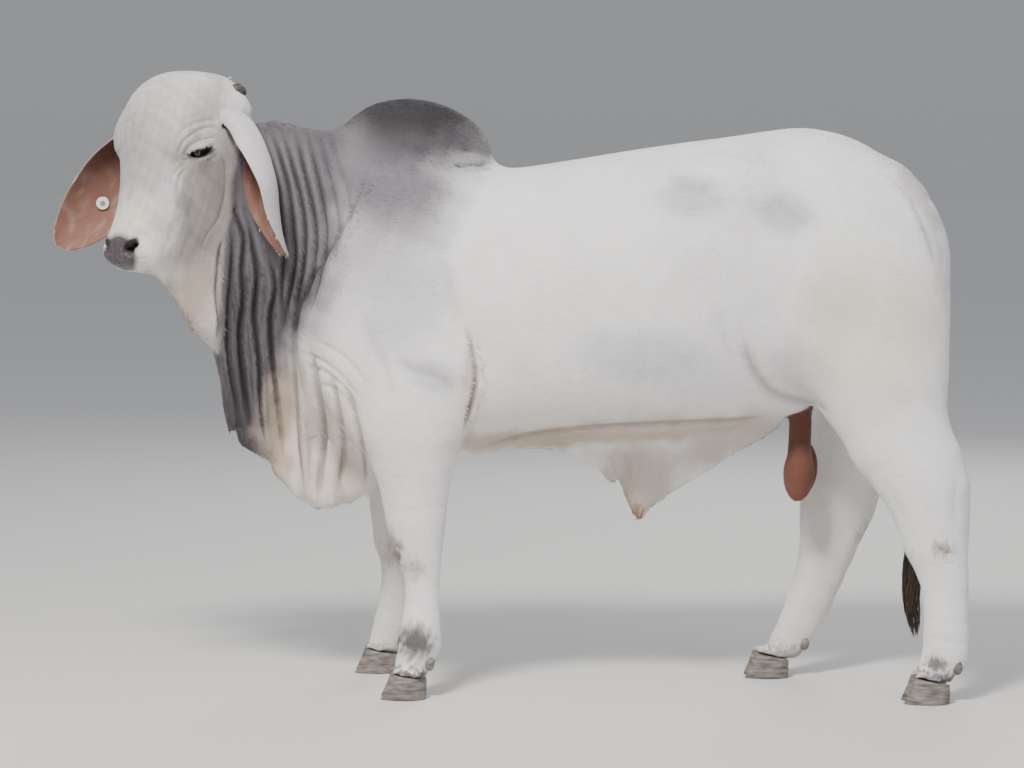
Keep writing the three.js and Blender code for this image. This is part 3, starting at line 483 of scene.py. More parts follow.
def settle(piece, rounds, chosen=None, reach=15):
    """Moves points onto the animal's shape, less the depth of its coat."""
    places = points_of(piece)
    chosen = np.arange(len(places)) if chosen is None else chosen
    for _ in range(rounds):
        own = in_millimetres(places[chosen])
        far = bull_shape(own)
        slope = np.stack([bull_shape(own + step) - far for step in np.eye(3)], 1)
        size = np.maximum(np.linalg.norm(slope, axis=1), LEAST_SLOPE)
        move = np.clip((far + COAT_DEPTH) / size, -reach, reach) * soft_step(FEET_FROM, FEET_TO, own[:, 2])
        places[chosen] -= move[:, None] * slope / size[:, None] / 1000
    move_points(piece, places)


# %% [markdown]
# The remesh can leave a closed bubble inside where two pieces of flesh met. Only the largest of
# the loose shells is the hide, so the others are dropped. How much a place is smoothed is
# painted as a weight: most on the broad barrel, some on the limbs, the throat and the hem of the
# dewlap. The scrotum would shrink, so it is settled onto its shape again at the end.

# %% Keep the outer shell and smooth it
BAG_AT = 0.79
BAG_HALF_LENGTH, BAG_HALF_WIDTH = 0.085, 0.095
CORONET_TOP = 92


def keep_largest(piece, title):
    choose(piece)
    bpy.ops.object.mode_set(mode="EDIT")
    bpy.ops.mesh.separate(type="LOOSE")
    bpy.ops.object.mode_set(mode="OBJECT")
    shells = sorted(bpy.context.selected_objects, key=lambda shell: len(shell.data.vertices))
    for shell in shells[:-1]:
        print("Dropped a loose shell of", len(shell.data.vertices), "points")
        bpy.data.objects.remove(shell)
    shells[-1].name = shells[-1].data.name = title
    return shells[-1]


def weigh(piece, title, weights):
    group = piece.vertex_groups.new(name=title)
    for level in range(1, 11):
        chosen = np.nonzero(np.round(weights * 10) == level)[0]
        group.add(chosen.tolist(), level / 10, "REPLACE")
    return group.name


skin = keep_largest(skin, "skin")
places = points_of(skin)
x, y, z = places.T
barrel = soft_step(0.60, 0.86, z) * soft_step(-0.70, -0.56, x) * soft_step(1.19, 1.08, x)
broad = weigh(skin, "broad", barrel)
change(skin, "SMOOTH", iterations=6, factor=0.5)
change(skin, "SMOOTH", iterations=60, factor=0.5, vertex_group=broad)
settle(skin, 2)
change(skin, "SMOOTH", iterations=4, factor=0.5)
settle(skin, 1)
own = in_millimetres(points_of(skin))
limbs = soft_step(860, 700, own[:, 2]) * soft_step(70, 90, own[:, 2]) * (np.abs(own[:, 1]) > 60)
limbs = limbs * ((own[:, 0] > -460) & (own[:, 0] < -60) | (own[:, 0] > 640))
change(skin, "SMOOTH", iterations=26, factor=0.5, vertex_group=weigh(skin, "limbs", limbs))
throat = soft_step(90, 0, np.abs(own[:, 2] - 1195)) * (own[:, 0] < -700)
change(skin, "SMOOTH", iterations=40, factor=0.5, vertex_group=weigh(skin, "throat", throat))
change(skin, "SMOOTH", iterations=110, factor=0.5, vertex_group=broad)
hem = soft_step(150, 20, own[:, 2] - DEWLAP_HEM(own[:, 0])) * (own[:, 0] < -340) * (own[:, 2] > 440)
change(skin, "SMOOTH", iterations=36, factor=0.5, vertex_group=weigh(skin, "hem", hem))
coronet = 1.0 * (own[:, 2] < CORONET_TOP)
change(skin, "SMOOTH", iterations=14, factor=0.5, vertex_group=weigh(skin, "coronet", coronet))
x, y, z = points_of(skin).T
round_bag = (np.abs(x - BAG_AT) < BAG_HALF_LENGTH + 0.005) & (np.abs(y) < BAG_HALF_WIDTH + 0.005)
bag = np.nonzero(round_bag & (z > 0.46) & (z < 0.74))[0]
settle(skin, 5, bag, reach=12)
on_bag = (np.abs(x - BAG_AT) < BAG_HALF_LENGTH) & (np.abs(y) < BAG_HALF_WIDTH) & (z > 0.46) & (z < 0.735)
change(skin, "SMOOTH", iterations=8, factor=0.5, vertex_group=weigh(skin, "bag", 1.0 * on_bag))
settle(skin, 1, bag, reach=12)
print("Skin after settling:", len(skin.data.vertices), "points")

# %% [markdown]
# ## The ears
# A Brahman's ear is a long leaf of gristle that hangs, curled round its own length. It could be
# cut from a block, but it is a sheet, so it starts as a grid. Each row of the grid is bent round
# to its own width and curl, on a line of points down the middle of the ear. Solidify gives it
# its thickness, thinner at the rim, and a union joins its root to the head.

# %% Bend a grid into an ear
EAR_ROWS = {
    "left": [
        [(-752, -160, 1540), (-0.5, 0.2, -0.6), 120, 116],
        [(-708, -196, 1530), (-0.7, 0.25, -0.5), 142, 112],
        [(-668, -238, 1494), (-0.85, 0.2, -0.3), 155, 104],
        [(-634, -262, 1428), (-0.95, -0.1, -0.1), 205, 86],
        [(-613, -270, 1350), (-0.95, -0.31, 0), 220, 76],
        [(-607, -268, 1275), (-0.93, -0.36, 0), 185, 70],
        [(-600, -263, 1220), (-0.9, -0.4, 0.1), 120, 60],
        [(-590, -258, 1180), (-0.88, -0.44, 0.2), 62, 50],
        [(-585, -256, 1166), (-0.88, -0.44, 0.2), 34, 36],
        [(-583, -255, 1158), (-0.88, -0.44, 0.2), 6, 30],
    ],
    "right": [
        [(-880, -40, 1536), (0.1, -0.6, -0.7), 120, 116],
        [(-928, 4, 1520), (0.1, -0.8, -0.5), 142, 98],
        [(-985, 24, 1470), (0.12, -0.9, -0.3), 160, 74],
        [(-1050, 30, 1385), (0.15, -0.96, -0.2), 200, 54],
        [(-1110, 26, 1300), (0.15, -0.97, -0.15), 192, 44],
        [(-1160, 18, 1240), (0.12, -0.97, -0.1), 147, 38],
        [(-1197, 8, 1202), (0.1, -0.98, -0.1), 90, 34],
        [(-1210, 3, 1190), (0.1, -0.98, -0.1), 56, 32],
        [(-1218, 0, 1182), (0.1, -0.98, -0.1), 8, 30],
    ],
}


def unit(ways):
    return ways / np.linalg.norm(ways, axis=-1, keepdims=True)


def ear_sheet(side, down=56, across=34):
    rows = EAR_ROWS[side]
    middle = smooth_path([row[0] for row in rows], down) / 1000 + ROW_FRAME
    hollow = smooth_path([row[1] for row in rows], down)
    width, curl = smooth_path([row[2:] for row in rows], down).T
    along = unit(np.gradient(middle, axis=0))
    hollow = unit(hollow - (hollow * along).sum(1, keepdims=True) * along)
    over = np.cross(along, hollow)
    radius = width / 2000 / np.radians(curl)
    bpy.ops.mesh.primitive_grid_add(x_subdivisions=down - 1, y_subdivisions=across - 1, size=1)
    ear = bpy.context.object
    ear.name = ear.data.name = f"ear {side}"
    grid = points_of(ear)
    row = np.round((grid[:, 0] + 0.5) * (down - 1)).astype(int)
    share = grid[:, 1] * 2
    angle = share * np.radians(curl[row])
    folds = 0.0022 * np.sin(share * 9 + row * 0.11) * soft_step(0.5, 0.1, row / down)
    reach = (radius[row] + folds)[:, None]
    places = middle[row] + over[row] * np.sin(angle)[:, None] * reach
    places += hollow[row] * (radius[row][:, None] - np.cos(angle)[:, None] * reach)
    rim = np.clip(1.12 - np.abs(share) ** 5 * 0.75, 0, 1) * soft_step(1.02, 0.86, row / (down - 1))
    move_points(ear, places)
    hollow_side = hollow[row]
    thick = weigh(ear, "thick", np.clip(rim, 0.1, 1))
    change(ear, "SOLIDIFY", thickness=0.0085, offset=0, vertex_group=thick, thickness_vertex_group=0.25)
    walls = points_of(ear).reshape(2, len(places), 3)
    first_is_hollow = ((walls[0] - walls[1]) * hollow_side).sum() > 0
    ear_hollow.append(np.repeat([first_is_hollow, not first_is_hollow], len(places)))
    choose(ear)
    bpy.ops.object.mode_set(mode="EDIT")
    bpy.ops.mesh.select_all(action="SELECT")
    bpy.ops.mesh.normals_make_consistent(inside=False)
    bpy.ops.object.mode_set(mode="OBJECT")
    print(f"Ear {side}: {faces_of(ear)} triangles, widest {width.max():.0f} mm")
    return ear


ear_hollow = []
bpy.ops.object.select_all(action="DESELECT")
ears = [ear_sheet("left"), ear_sheet("right")]

# %% [markdown]
# A union joins each ear to the head. The join is a sharp line at first, so the points near it are
# smoothed until the root of the ear grows out of the hide. The head, the neck and the dewlap
# carry the finest folds, so their faces are divided once more, and again round the eyes and nose.

# %% Join the ears and divide the head more finely
def tree_of(places):
    tree = KDTree(len(places))
    for i, place in enumerate(places):
        tree.insert(place, i)
    tree.balance()
    return tree


def gap_to(tree, places, chosen, far=0.05):
    """How far each chosen place is from the nearest point of a tree, and which point that is."""
    gaps, which = np.full(len(places), far), np.zeros(len(places), int)
    for i in np.nonzero(chosen)[0]:
        _, which[i], gap = tree.find(places[i])
        gaps[i] = min(gap, far)
    return gaps, which


def near_ears(places):
    own = in_head(in_millimetres(places))
    return (np.abs(own[:, 1]) > 84) & (own[:, 0] > -90) & (places[:, 2] > 1.14) & (places[:, 0] < -0.55)


ear_places = np.concatenate([points_of(ear) for ear in ears])
ear_hollow = np.concatenate(ear_hollow)
head_tree = tree_of(points_of(skin)[near_ears(points_of(skin))])
ear_tree = tree_of(ear_places)
for ear in ears:
    change(skin, "BOOLEAN", object=ear, operation="UNION", solver="MANIFOLD")
    bpy.data.objects.remove(ear)
places = points_of(skin)
by_ear = near_ears(places)
to_ear, to_head = gap_to(ear_tree, places, by_ear)[0], gap_to(head_tree, places, by_ear)[0]
root = soft_step(0.024, 0.008, to_ear) * soft_step(0.024, 0.008, to_head)
change(skin, "SMOOTH", iterations=14, factor=0.5, vertex_group=weigh(skin, "ear root", root))


def divide(piece, chosen):
    """Divides the faces whose points are all chosen, with no T corners left open."""
    choose(piece)
    bpy.ops.object.mode_set(mode="EDIT")
    bpy.ops.mesh.select_all(action="DESELECT")
    bpy.ops.mesh.select_mode(type="VERT")
    bpy.ops.object.mode_set(mode="OBJECT")
    piece.data.vertices.foreach_set("select", chosen)
    bpy.ops.object.mode_set(mode="EDIT")
    bpy.ops.mesh.subdivide(number_cuts=1)
    bpy.ops.object.mode_set(mode="OBJECT")


x, y, z = points_of(skin).T
divide(skin, (x < -0.46) & (z > 0.40))
x = points_of(skin)[:, 0]
change(skin, "SMOOTH", iterations=3, factor=0.5, vertex_group=weigh(skin, "fine", 1.0 * (x < -0.48)))
own = in_head(in_millimetres(points_of(skin)))
eye_near = np.linalg.norm((own - (192, 0, -98)) * (1, 0, 1), axis=1) < 62
nose_near = own[:, 0] > 395
near_eyes = eye_near & (np.abs(own[:, 1]) > 70)
divide(skin, (near_eyes | nose_near) & (own[:, 2] > -200) & (own[:, 0] < 530))
print("Skin with ears:", len(skin.data.vertices), "points,", faces_of(skin), "triangles")

# %% [markdown]
# ## Folds laid along lines measured on the photograph
# The camera's place and lens are known, so any point of the skin has a place on the photograph,
# in pixels of its frame. Folds are drawn there as short lines with a depth and a width, and
# pressed into the skin along its normals. The far side mirrors the near one: the head across its
# own middle, and the neck and body across the bend of the spine.

# %% Where a point of the near side lies on the photograph
EYE_POINT = np.array((0.0127, -7.7608, 1.356))
TILT = math.radians(4.02)
LENS_PIXELS = 2900
PHOTO_WIDTH = 1024
PHOTO_MIDDLE = (512, 384)


def on_photo(places):
    ahead = np.array((0, math.cos(TILT), -math.sin(TILT)))
    up = np.array((0, math.sin(TILT), math.cos(TILT)))
    off = places - EYE_POINT
    depth = off @ ahead
    right, above = LENS_PIXELS * off[:, 0] / depth, LENS_PIXELS * (off @ up) / depth
    return np.stack([PHOTO_MIDDLE[0] + right, PHOTO_MIDDLE[1] - above], 1)


def near_side(places):
    """Each place, or its mirror image on the near side, as a place on the photograph."""
    own = in_millimetres(places)
    head = in_head(own)
    is_head = (head[:, 2] > -262) & (head[:, 0] < 520) & (places[:, 0] < -0.7)
    bend = NECK_BEND(own[:, 0])
    mirrored = own.copy()
    mirrored[:, 1] = bend - np.abs(own[:, 1] - bend)
    head[:, 1] = np.abs(head[:, 1])
    mirrored[is_head] = (head @ HEAD_AXES + POLL)[is_head]
    return on_photo(mirrored / 1000 + ROW_FRAME), is_head


def turned_to_camera(places, ways):
    """How far the skin of the near side, or its mirror image, looks at the camera: 1 is straight on."""
    own = in_millimetres(places)
    side = in_head(own)[:, 1]
    head = ways @ HEAD_AXES.T
    head[:, 1] *= np.where(side < 0, -1, 1)
    is_head = near_side(places)[1]
    body = np.where(own[:, 1] > NECK_BEND(own[:, 0]), ways[:, 1], -ways[:, 1])
    return np.where(is_head, -(head @ HEAD_AXES)[:, 1], body)


def press(moved, seen, allowed, line, depth, width, cusp=1.3, roll=0.16):
    """Presses one fold: a narrow valley with a low roll of skin on both sides."""
    line = np.array(line, float)
    low, high = line.min(0) - width * 4, line.max(0) + width * 4
    chosen = np.nonzero((allowed > 0) & (seen > low).all(1) & (seen < high).all(1))[0]
    if not len(chosen):
        return
    gap, along = from_line(seen[chosen], smooth_path(line, len(line) * 3))
    ends = soft_step(0, 0.22, along) * soft_step(1, 0.78, along) * 0.85 + 0.15
    ends = np.where((along <= 0) | (along >= 1), 0.15, ends)
    valley = np.exp(-((gap / width) ** cusp))
    rolls = np.exp(-(((gap - 2.1 * width) / width) ** 2))
    moved[chosen] += (rolls * roll - valley) * depth * ends / 1000 * allowed[chosen]


# %% [markdown]
# The lines are in pixels of the photograph, and depths in millimetres. Those of the head come
# first: arched folds of the brow, the tear line, the cheek, the fold behind the muzzle. Then the
# dark folds of the neck, which run down into the pleats of the dewlap, and the few folds of the
# body: behind the elbow, over the flank, the knees and the hocks.

# %% Lines of the folds
HEAD_FOLDS = [
    ([(183, 160), (188, 148), (199, 141), (214, 138), (219, 143)], 2.6, 1.3),
    ([(177, 161), (180, 147), (191, 135), (205, 128), (217, 129), (222, 137)], 3.4, 1.5),
    ([(171, 158), (173, 143), (184, 129), (200, 122), (214, 121), (224, 130)], 2.4, 1.7),
    ([(166, 150), (168, 136), (178, 123), (196, 115), (212, 114)], 1.2, 1.8),
    ([(187, 163), (179, 168), (173, 176), (171, 188)], 2.6, 1.4),
    ([(190, 165), (182, 173), (178, 187), (180, 207)], 2.8, 1.8),
    ([(196, 166), (193, 180), (194, 196), (198, 210)], 1.5, 1.8),
    ([(219, 146), (225, 162), (226, 180), (224, 200), (218, 220), (206, 240), (203, 262)], 2.4, 1.5),
    ([(204, 160), (214, 158), (220, 151)], 1.6, 1.2),
    ([(194, 162), (206, 155), (217, 148)], 1.2, 1.0),
    ([(172, 175), (168, 196), (170, 216), (174, 234), (170, 252)], 1.8, 2.6),
    ([(200, 215), (194, 232), (186, 250), (181, 272)], 1.2, 2.0),
    ([(146, 228), (156, 226), (164, 232), (168, 246), (165, 262)], 2.4, 2.2),
    ([(104, 262), (112, 269), (126, 272.5), (142, 272), (156, 271), (166, 267)], 5.0, 1.2),
    ([(138, 262), (148, 258), (158, 262), (164, 268)], 1.6, 1.6),
    ([(166, 272), (172, 288), (180, 304)], 2.6, 2.2),
    ([(148, 112), (152, 104), (160, 97), (172, 91), (186, 87)], 1.3, 1.5),
    ([(140, 118), (144, 104), (152, 94), (164, 86), (180, 81)], 1.2, 1.5),
    ([(152, 124), (158, 110), (170, 100), (186, 94), (200, 92)], 1.2, 1.5),
    ([(150, 133), (158, 122), (166, 110), (180, 104)], 1.0, 1.4),
    ([(142, 127), (134, 140), (130, 156)], 1.0, 1.5),
    ([(149, 130), (150, 146), (146, 162), (143, 180)], 1.1, 1.5),
    ([(158, 138), (160, 154), (156, 172)], 1.0, 1.4),
    ([(136, 112), (130, 124), (127, 138)], 0.9, 1.5),
]
NECK_FOLDS = [
    ([(221, 232), (219, 262), (217, 290), (220, 320), (216, 345)], 11, 2.0),
    ([(232, 188), (236, 215), (244, 238), (242, 270), (243, 300), (240, 340), (246, 400), (252, 440)],
     9, 2.2),
    ([(246, 208), (252, 243), (257, 275), (254, 320), (259, 365), (262, 420), (270, 455)], 10, 2.2),
    ([(233, 220), (232, 260), (229, 300), (228, 350), (236, 400), (240, 425)], 7, 2.0),
    ([(266, 250), (275, 285), (270, 320), (273, 365), (280, 420), (284, 470)], 10, 2.2),
    ([(258, 122), (268, 150), (278, 185), (281, 215), (284, 250), (281, 290), (284, 330)], 7, 1.9),
    ([(270, 124), (280, 155), (289, 190), (293, 225), (295, 262), (288, 300), (282, 335)], 8, 2.0),
    ([(282, 127), (291, 160), (300, 195), (305, 230), (303, 268), (296, 305), (292, 345)], 8, 2.1),
    ([(296, 128), (303, 165), (312, 205), (316, 240), (312, 275), (303, 312)], 7, 2.1),
    ([(308, 129), (315, 165), (323, 205), (326, 240), (318, 285), (306, 325)], 6, 2.2),
    ([(320, 128), (327, 165), (336, 205), (338, 240), (328, 285)], 4, 2.4),
    ([(330, 127), (338, 160), (349, 200), (350, 235)], 3, 2.6),
    ([(375, 158), (352, 210), (330, 250), (306, 290), (296, 330), (300, 380), (312, 430)], 5, 2.8),
    ([(300, 300), (292, 345), (296, 400), (302, 450), (306, 490)], 9, 2.2),
    ([(310, 345), (316, 385), (324, 430), (320, 470), (317, 505)], 9, 2.2),
    ([(330, 372), (338, 410), (344, 450), (340, 490)], 6, 2.2),
    ([(345, 385), (356, 420), (364, 460), (366, 488)], 5, 2.2),
    ([(300, 352), (322, 360), (344, 378), (362, 402)], 3.0, 1.6),
    ([(304, 366), (326, 372), (348, 392), (362, 416)], 2.6, 1.6),
    ([(312, 340), (336, 350), (356, 368), (372, 392)], 2.4, 1.6),
    ([(318, 384), (338, 390), (354, 410)], 2.2, 1.5),
    ([(306, 440), (322, 436), (338, 446)], 2.0, 1.5),
    ([(232, 128), (240, 150), (244, 172)], 3, 1.6),
    ([(246, 112), (258, 130), (266, 160), (272, 190)], 5, 1.7),
]
BODY_FOLDS = [
    ([(466, 327), (473, 355), (476, 378), (473, 400), (463, 433)], 13, 2.4),
    ([(452, 166), (470, 165), (490, 164)], 7, 2.0),
    ([(456, 150), (474, 152), (488, 158)], 3, 2.2),
    ([(392, 352), (412, 368), (438, 376), (462, 392)], 4, 7),
    ([(360, 300), (372, 340), (388, 372), (396, 410)], 3, 9),
    ([(440, 250), (452, 290), (462, 330)], 3, 10),
    ([(462, 455), (520, 437), (590, 428), (660, 424), (740, 420), (790, 412)], 7, 3.2),
    ([(512, 440), (540, 446), (575, 444), (600, 450)], 2.4, 2.2),
    ([(600, 446), (612, 460), (616, 480)], 3, 2.0),
    ([(622, 448), (628, 466), (630, 486)], 2.6, 1.8),
    ([(640, 440), (640, 462), (636, 490)], 2.0, 1.8),
    ([(650, 440), (668, 452), (690, 456)], 2.0, 2.2),
    ([(742, 330), (752, 366), (772, 392), (806, 404), (842, 416)], 6, 7),
    ([(716, 300), (726, 340), (740, 372)], 2.5, 6),
    ([(640, 330), (646, 360), (642, 392)], 1.6, 5),
    ([(562, 350), (572, 380), (566, 408)], 1.6, 5),
    ([(545, 225), (540, 290), (542, 350), (550, 400)], 1.0, 6),
    ([(632, 240), (634, 290), (642, 350)], 0.9, 6),
    ([(668, 168), (676, 182), (700, 190), (724, 184)], 3.0, 7),
    ([(770, 196), (790, 212), (812, 230)], 2.6, 8),
    ([(905, 190), (918, 214), (930, 244), (936, 270)], 5, 3.0),
    ([(880, 172), (896, 182), (908, 196)], 3.0, 3.0),
    ([(378, 470), (394, 476), (412, 480)], 1.8, 1.6),
    ([(425, 508), (437, 506), (448, 511)], 2.2, 1.5),
    ([(390, 540), (402, 552), (404, 566)], 2.4, 2.0),
    ([(394, 578), (410, 582), (430, 578)], 1.8, 1.8),
    ([(932, 538), (943, 551), (955, 553)], 5.0, 1.8),
    ([(925, 634), (946, 641), (970, 644)], 2.4, 1.6),
    ([(930, 560), (940, 572), (944, 590)], 2.0, 2.2),
    ([(958, 470), (954, 500), (956, 530)], 3.0, 4.0),
    ([(878, 470), (896, 500), (910, 530)], 2.0, 5.0),
    ([(398, 640), (412, 646), (428, 642)], 2.0, 1.7),
    ([(396, 664), (412, 668), (430, 662)], 2.0, 1.7),
]

# %% Press the folds
HEAD_FOLD_SHARE = 0.7
PLEATS_BELOW = 300
PLEATS = (1.75, 1.25)
NECK_CREASES = (1.15, 1)

places = points_of(skin)
ways = facing_of(skin)
seen, is_head = near_side(places)
own = in_head(in_millimetres(places))
ear_gap, ear_point = gap_to(ear_tree, places, near_ears(places))
ear_share = soft_step(0.015, 0.009, ear_gap)
ear_inside = ear_share * ear_hollow[ear_point]
is_ear = ear_share > 0.5
bare = (1 - ear_share) * soft_step(0.0, 0.25, turned_to_camera(places, ways))
fold_depth = np.zeros(len(places))
for line, depth, width in HEAD_FOLDS:
    press(fold_depth, seen, is_head * bare, line, depth * HEAD_FOLD_SHARE, width)
neck_only = ~is_head & (places[:, 2] > 0.45) & (places[:, 0] < -0.2)
for line, depth, width in NECK_FOLDS:
    deeper, wider = PLEATS if line[0][1] > PLEATS_BELOW else NECK_CREASES
    press(fold_depth, seen, neck_only * bare, line, depth * deeper, width * wider)
for line, depth, width in BODY_FOLDS:
    press(fold_depth, seen, (~is_head & (places[:, 0] > -0.5)) * bare, line, depth, width)


def ripple(seen, lengths, turn, seed):
    """A soft, uneven wave over the photograph's frame, for fine wrinkles."""
    run = np.random.default_rng(seed)
    along = seen @ (math.cos(turn), math.sin(turn))
    over = seen @ (-math.sin(turn), math.cos(turn))
    total = 0
    for length in lengths:
        bend = 1.8 * np.sin(along / (length * 5.3) + run.uniform(0, 6))
        bend = bend + 1.1 * np.sin(along / (length * 2.3) + 2)
        total = total + np.sin(over / length * 2 * np.pi + bend + run.uniform(0, 6))
    return total / len(lengths)


px, py = seen.T
neck_skin = ~is_head & ~is_ear & (places[:, 0] < -0.40) & (places[:, 2] > 0.45)
upper_neck = soft_step(345, 300, px) * soft_step(125, 150, py) * neck_skin
fold_depth += 0.0012 * upper_neck * (1 - np.abs(ripple(seen, (9, 14, 6), 1.45, 3))) - 0.0004 * upper_neck
brow = is_head * soft_step(62, 20, np.hypot(px - 160, py - 112)) * bare
fold_depth += 0.0003 * brow * ripple(seen, (5.5, 8, 3.8), -0.75, 4)
fold_depth = np.clip(fold_depth, -0.022, 0.008)
move_points(skin, places + ways * fold_depth[:, None])
print("Folds pressed:", len(HEAD_FOLDS + NECK_FOLDS + BODY_FOLDS), "lines, deepest", fold_depth.min())

# %% [markdown]
# ## Lids, nostrils and mouth
# The lids of a bull that squints into the sun leave a narrow slit. It could be cut, but a cut
# leaves a hard rim, so the skin inside the slit is drawn back behind the globe of the eye and the
# skin around it swells into two lids. The nostrils are drawn in the same way, in the shape of a
# comma, and the pad of the nose is raised a little with a rim round it.

# %% Draw back the slit of the eye and the nostrils
EYE_AT = np.array((178, 109, -110))
EYE_TILT = math.radians(60)
SLIT_LENGTH, SLIT_HEIGHT = 45, 8.8
GLOBE_RADIUS, CORNEA = 21.5, 1.6


def by_eye(own):
    """Places in millimetres from the eye: along its slit to the inner corner, across it, outward."""
    off = np.abs(own * (0, 1, 0)) + own * (1, 0, 1) - EYE_AT
    along = off[:, 0] * math.cos(EYE_TILT) + off[:, 2] * math.sin(EYE_TILT)
    across = off[:, 2] * math.cos(EYE_TILT) - off[:, 0] * math.sin(EYE_TILT)
    return along, across, off[:, 1]


places = points_of(skin)
own = in_head(in_millimetres(places))
along, across, outward = by_eye(own)
around_eye = is_head & ~is_ear & (np.hypot(along, across) < 75) & (np.abs(own[:, 1]) > 60)
sides = np.sign(own[:, 1])
middle_line = -2.0 + 3.0 * (along / 30) ** 2
half_open = SLIT_HEIGHT * np.clip(1 - (along / SLIT_LENGTH) ** 2, 0, 1) ** 0.8
off_slit = np.abs(across - middle_line)
share = off_slit / np.maximum(half_open, 0.4)
inside = soft_step(1.22, 0.82, share) * (np.abs(along) < SLIT_LENGTH)
lid = np.exp(-(((off_slit - half_open - 7.5) / 5.0) ** 2)) * soft_step(46, 14, np.abs(along))
upper = across > middle_line
swell = lid * np.where(upper, 5.5, 2.6)
past_corner = soft_step(39, 44, np.abs(along)) * soft_step(58, 46, np.abs(along))
corner = np.exp(-(off_slit / 2.2) ** 2) * past_corner * 3
floor = 4.0 + 14.0 * soft_step(18, 44, np.abs(along))
sunk = np.where(inside > 0, inside * np.maximum(outward - floor, 0), 0)
push = np.where(around_eye, swell - corner - sunk, 0)
moved = own.copy()
moved[:, 1] += push * sides
eye_slit = np.where(around_eye, inside, 0)


def egg_in_face(u, v, w, size, turn=0.0):
    """1 at the middle of an egg drawn on the face, 0 from its edge on. Both sides are the same."""
    off = np.abs(own * (0, 1, 0)) + own * (1, 0, 1) - (u, v, w)
    a = off[:, 0] * math.cos(turn) + off[:, 1] * math.sin(turn)
    b = off[:, 1] * math.cos(turn) - off[:, 0] * math.sin(turn)
    return np.sqrt((a / size[0]) ** 2 + (b / size[1]) ** 2 + (off[:, 2] / size[2]) ** 2)


pad = egg_in_face(468, 0, -58, (40, 64, 66))
wing_of_nostril = egg_in_face(454, 55, -58, (8, 15, 44), 0.9)
nostril = np.minimum(egg_in_face(465, 44, -58, (12, 16, 44), 0.5), wing_of_nostril)
hole = soft_step(1.15, 0.55, nostril) * is_head
rim = np.exp(-(((nostril - 1.5) / 0.35) ** 2)) * is_head
moved += np.outer(hole * 26, (-0.55, 0, -0.85)) + np.outer(hole * 6, (0, -1, 0)) * sides[:, None]
moved += np.outer(rim * 2.4, (0.4, 0, 0.9))
nose_pad = soft_step(1.06, 0.94, pad) * is_head * (own[:, 0] > 430)
moved += np.outer(nose_pad * 1.6, (0.4, 0, 0.9))
groove = np.exp(-((own[:, 1] / 3.0) ** 2)) * nose_pad * soft_step(452, 470, own[:, 0])
moved += np.outer(groove * 2.2, (-0.4, 0, -0.9))
moved[:, 1] -= muzzle_shift(moved[:, 0])
head_only = is_head & ~is_ear
places[head_only] = (moved @ HEAD_AXES + POLL)[head_only] / 1000 + ROW_FRAME
move_points(skin, places)
print("Eye slit points:", int((eye_slit > 0.5).sum()), "nostril points:", int((hole > 0.5).sum()))

# %% [markdown]
# The fine mesh carries more faces than the finished skin should, most of them on the broad barrel
# where nothing happens. Collapsing the flattest ones first keeps the folds. What was measured on
# the fine skin, such as the depth of its folds, is read back at the nearest point.

# %% Collapse the flat faces, keep what was measured
SKIN_FACES = 192000
measured = tree_of(points_of(skin))
traits = np.stack([fold_depth, eye_slit, hole, nose_pad, ear_share, ear_inside], 1)
change(skin, "DECIMATE", ratio=SKIN_FACES / faces_of(skin))
nearest = [measured.find(place)[1] for place in points_of(skin)]
skin_traits = traits[nearest]
print("Finished skin:", len(skin.data.vertices), "points,", faces_of(skin), "triangles")

# %% [markdown]
# ## The colours of the hide
# A grey Brahman is white over a dark skin: the hump, the neck and the dewlap are charcoal where
# the hair is dark, the flanks are white, and the belly and the folds of the dewlap turn cream and
# tan where the skin shows; under the belly this is deepened as painted shade. The colours are
# worked out by rule for every point: soft patches, placed in pixels of the photograph's frame and
# laid on both sides, some of them painted shade on the back, the ribs and the flank; then painted
# shade in the valleys of the folds, and painted light on the crests of the dark ones. The skin and
# the coat ask the same function, so a tuft takes the colour of the hide under it.

# %% Patches of colour
def shade(red, green, blue):
    level = np.array((red, green, blue)) / 255
    return np.where(level < 0.04045, level / 12.92, ((level + 0.055) / 1.055) ** 2.4)


WHITE = shade(232, 230, 230)
CREST_LIGHT = shade(126, 122, 129)
TAN = shade(170, 142, 116)

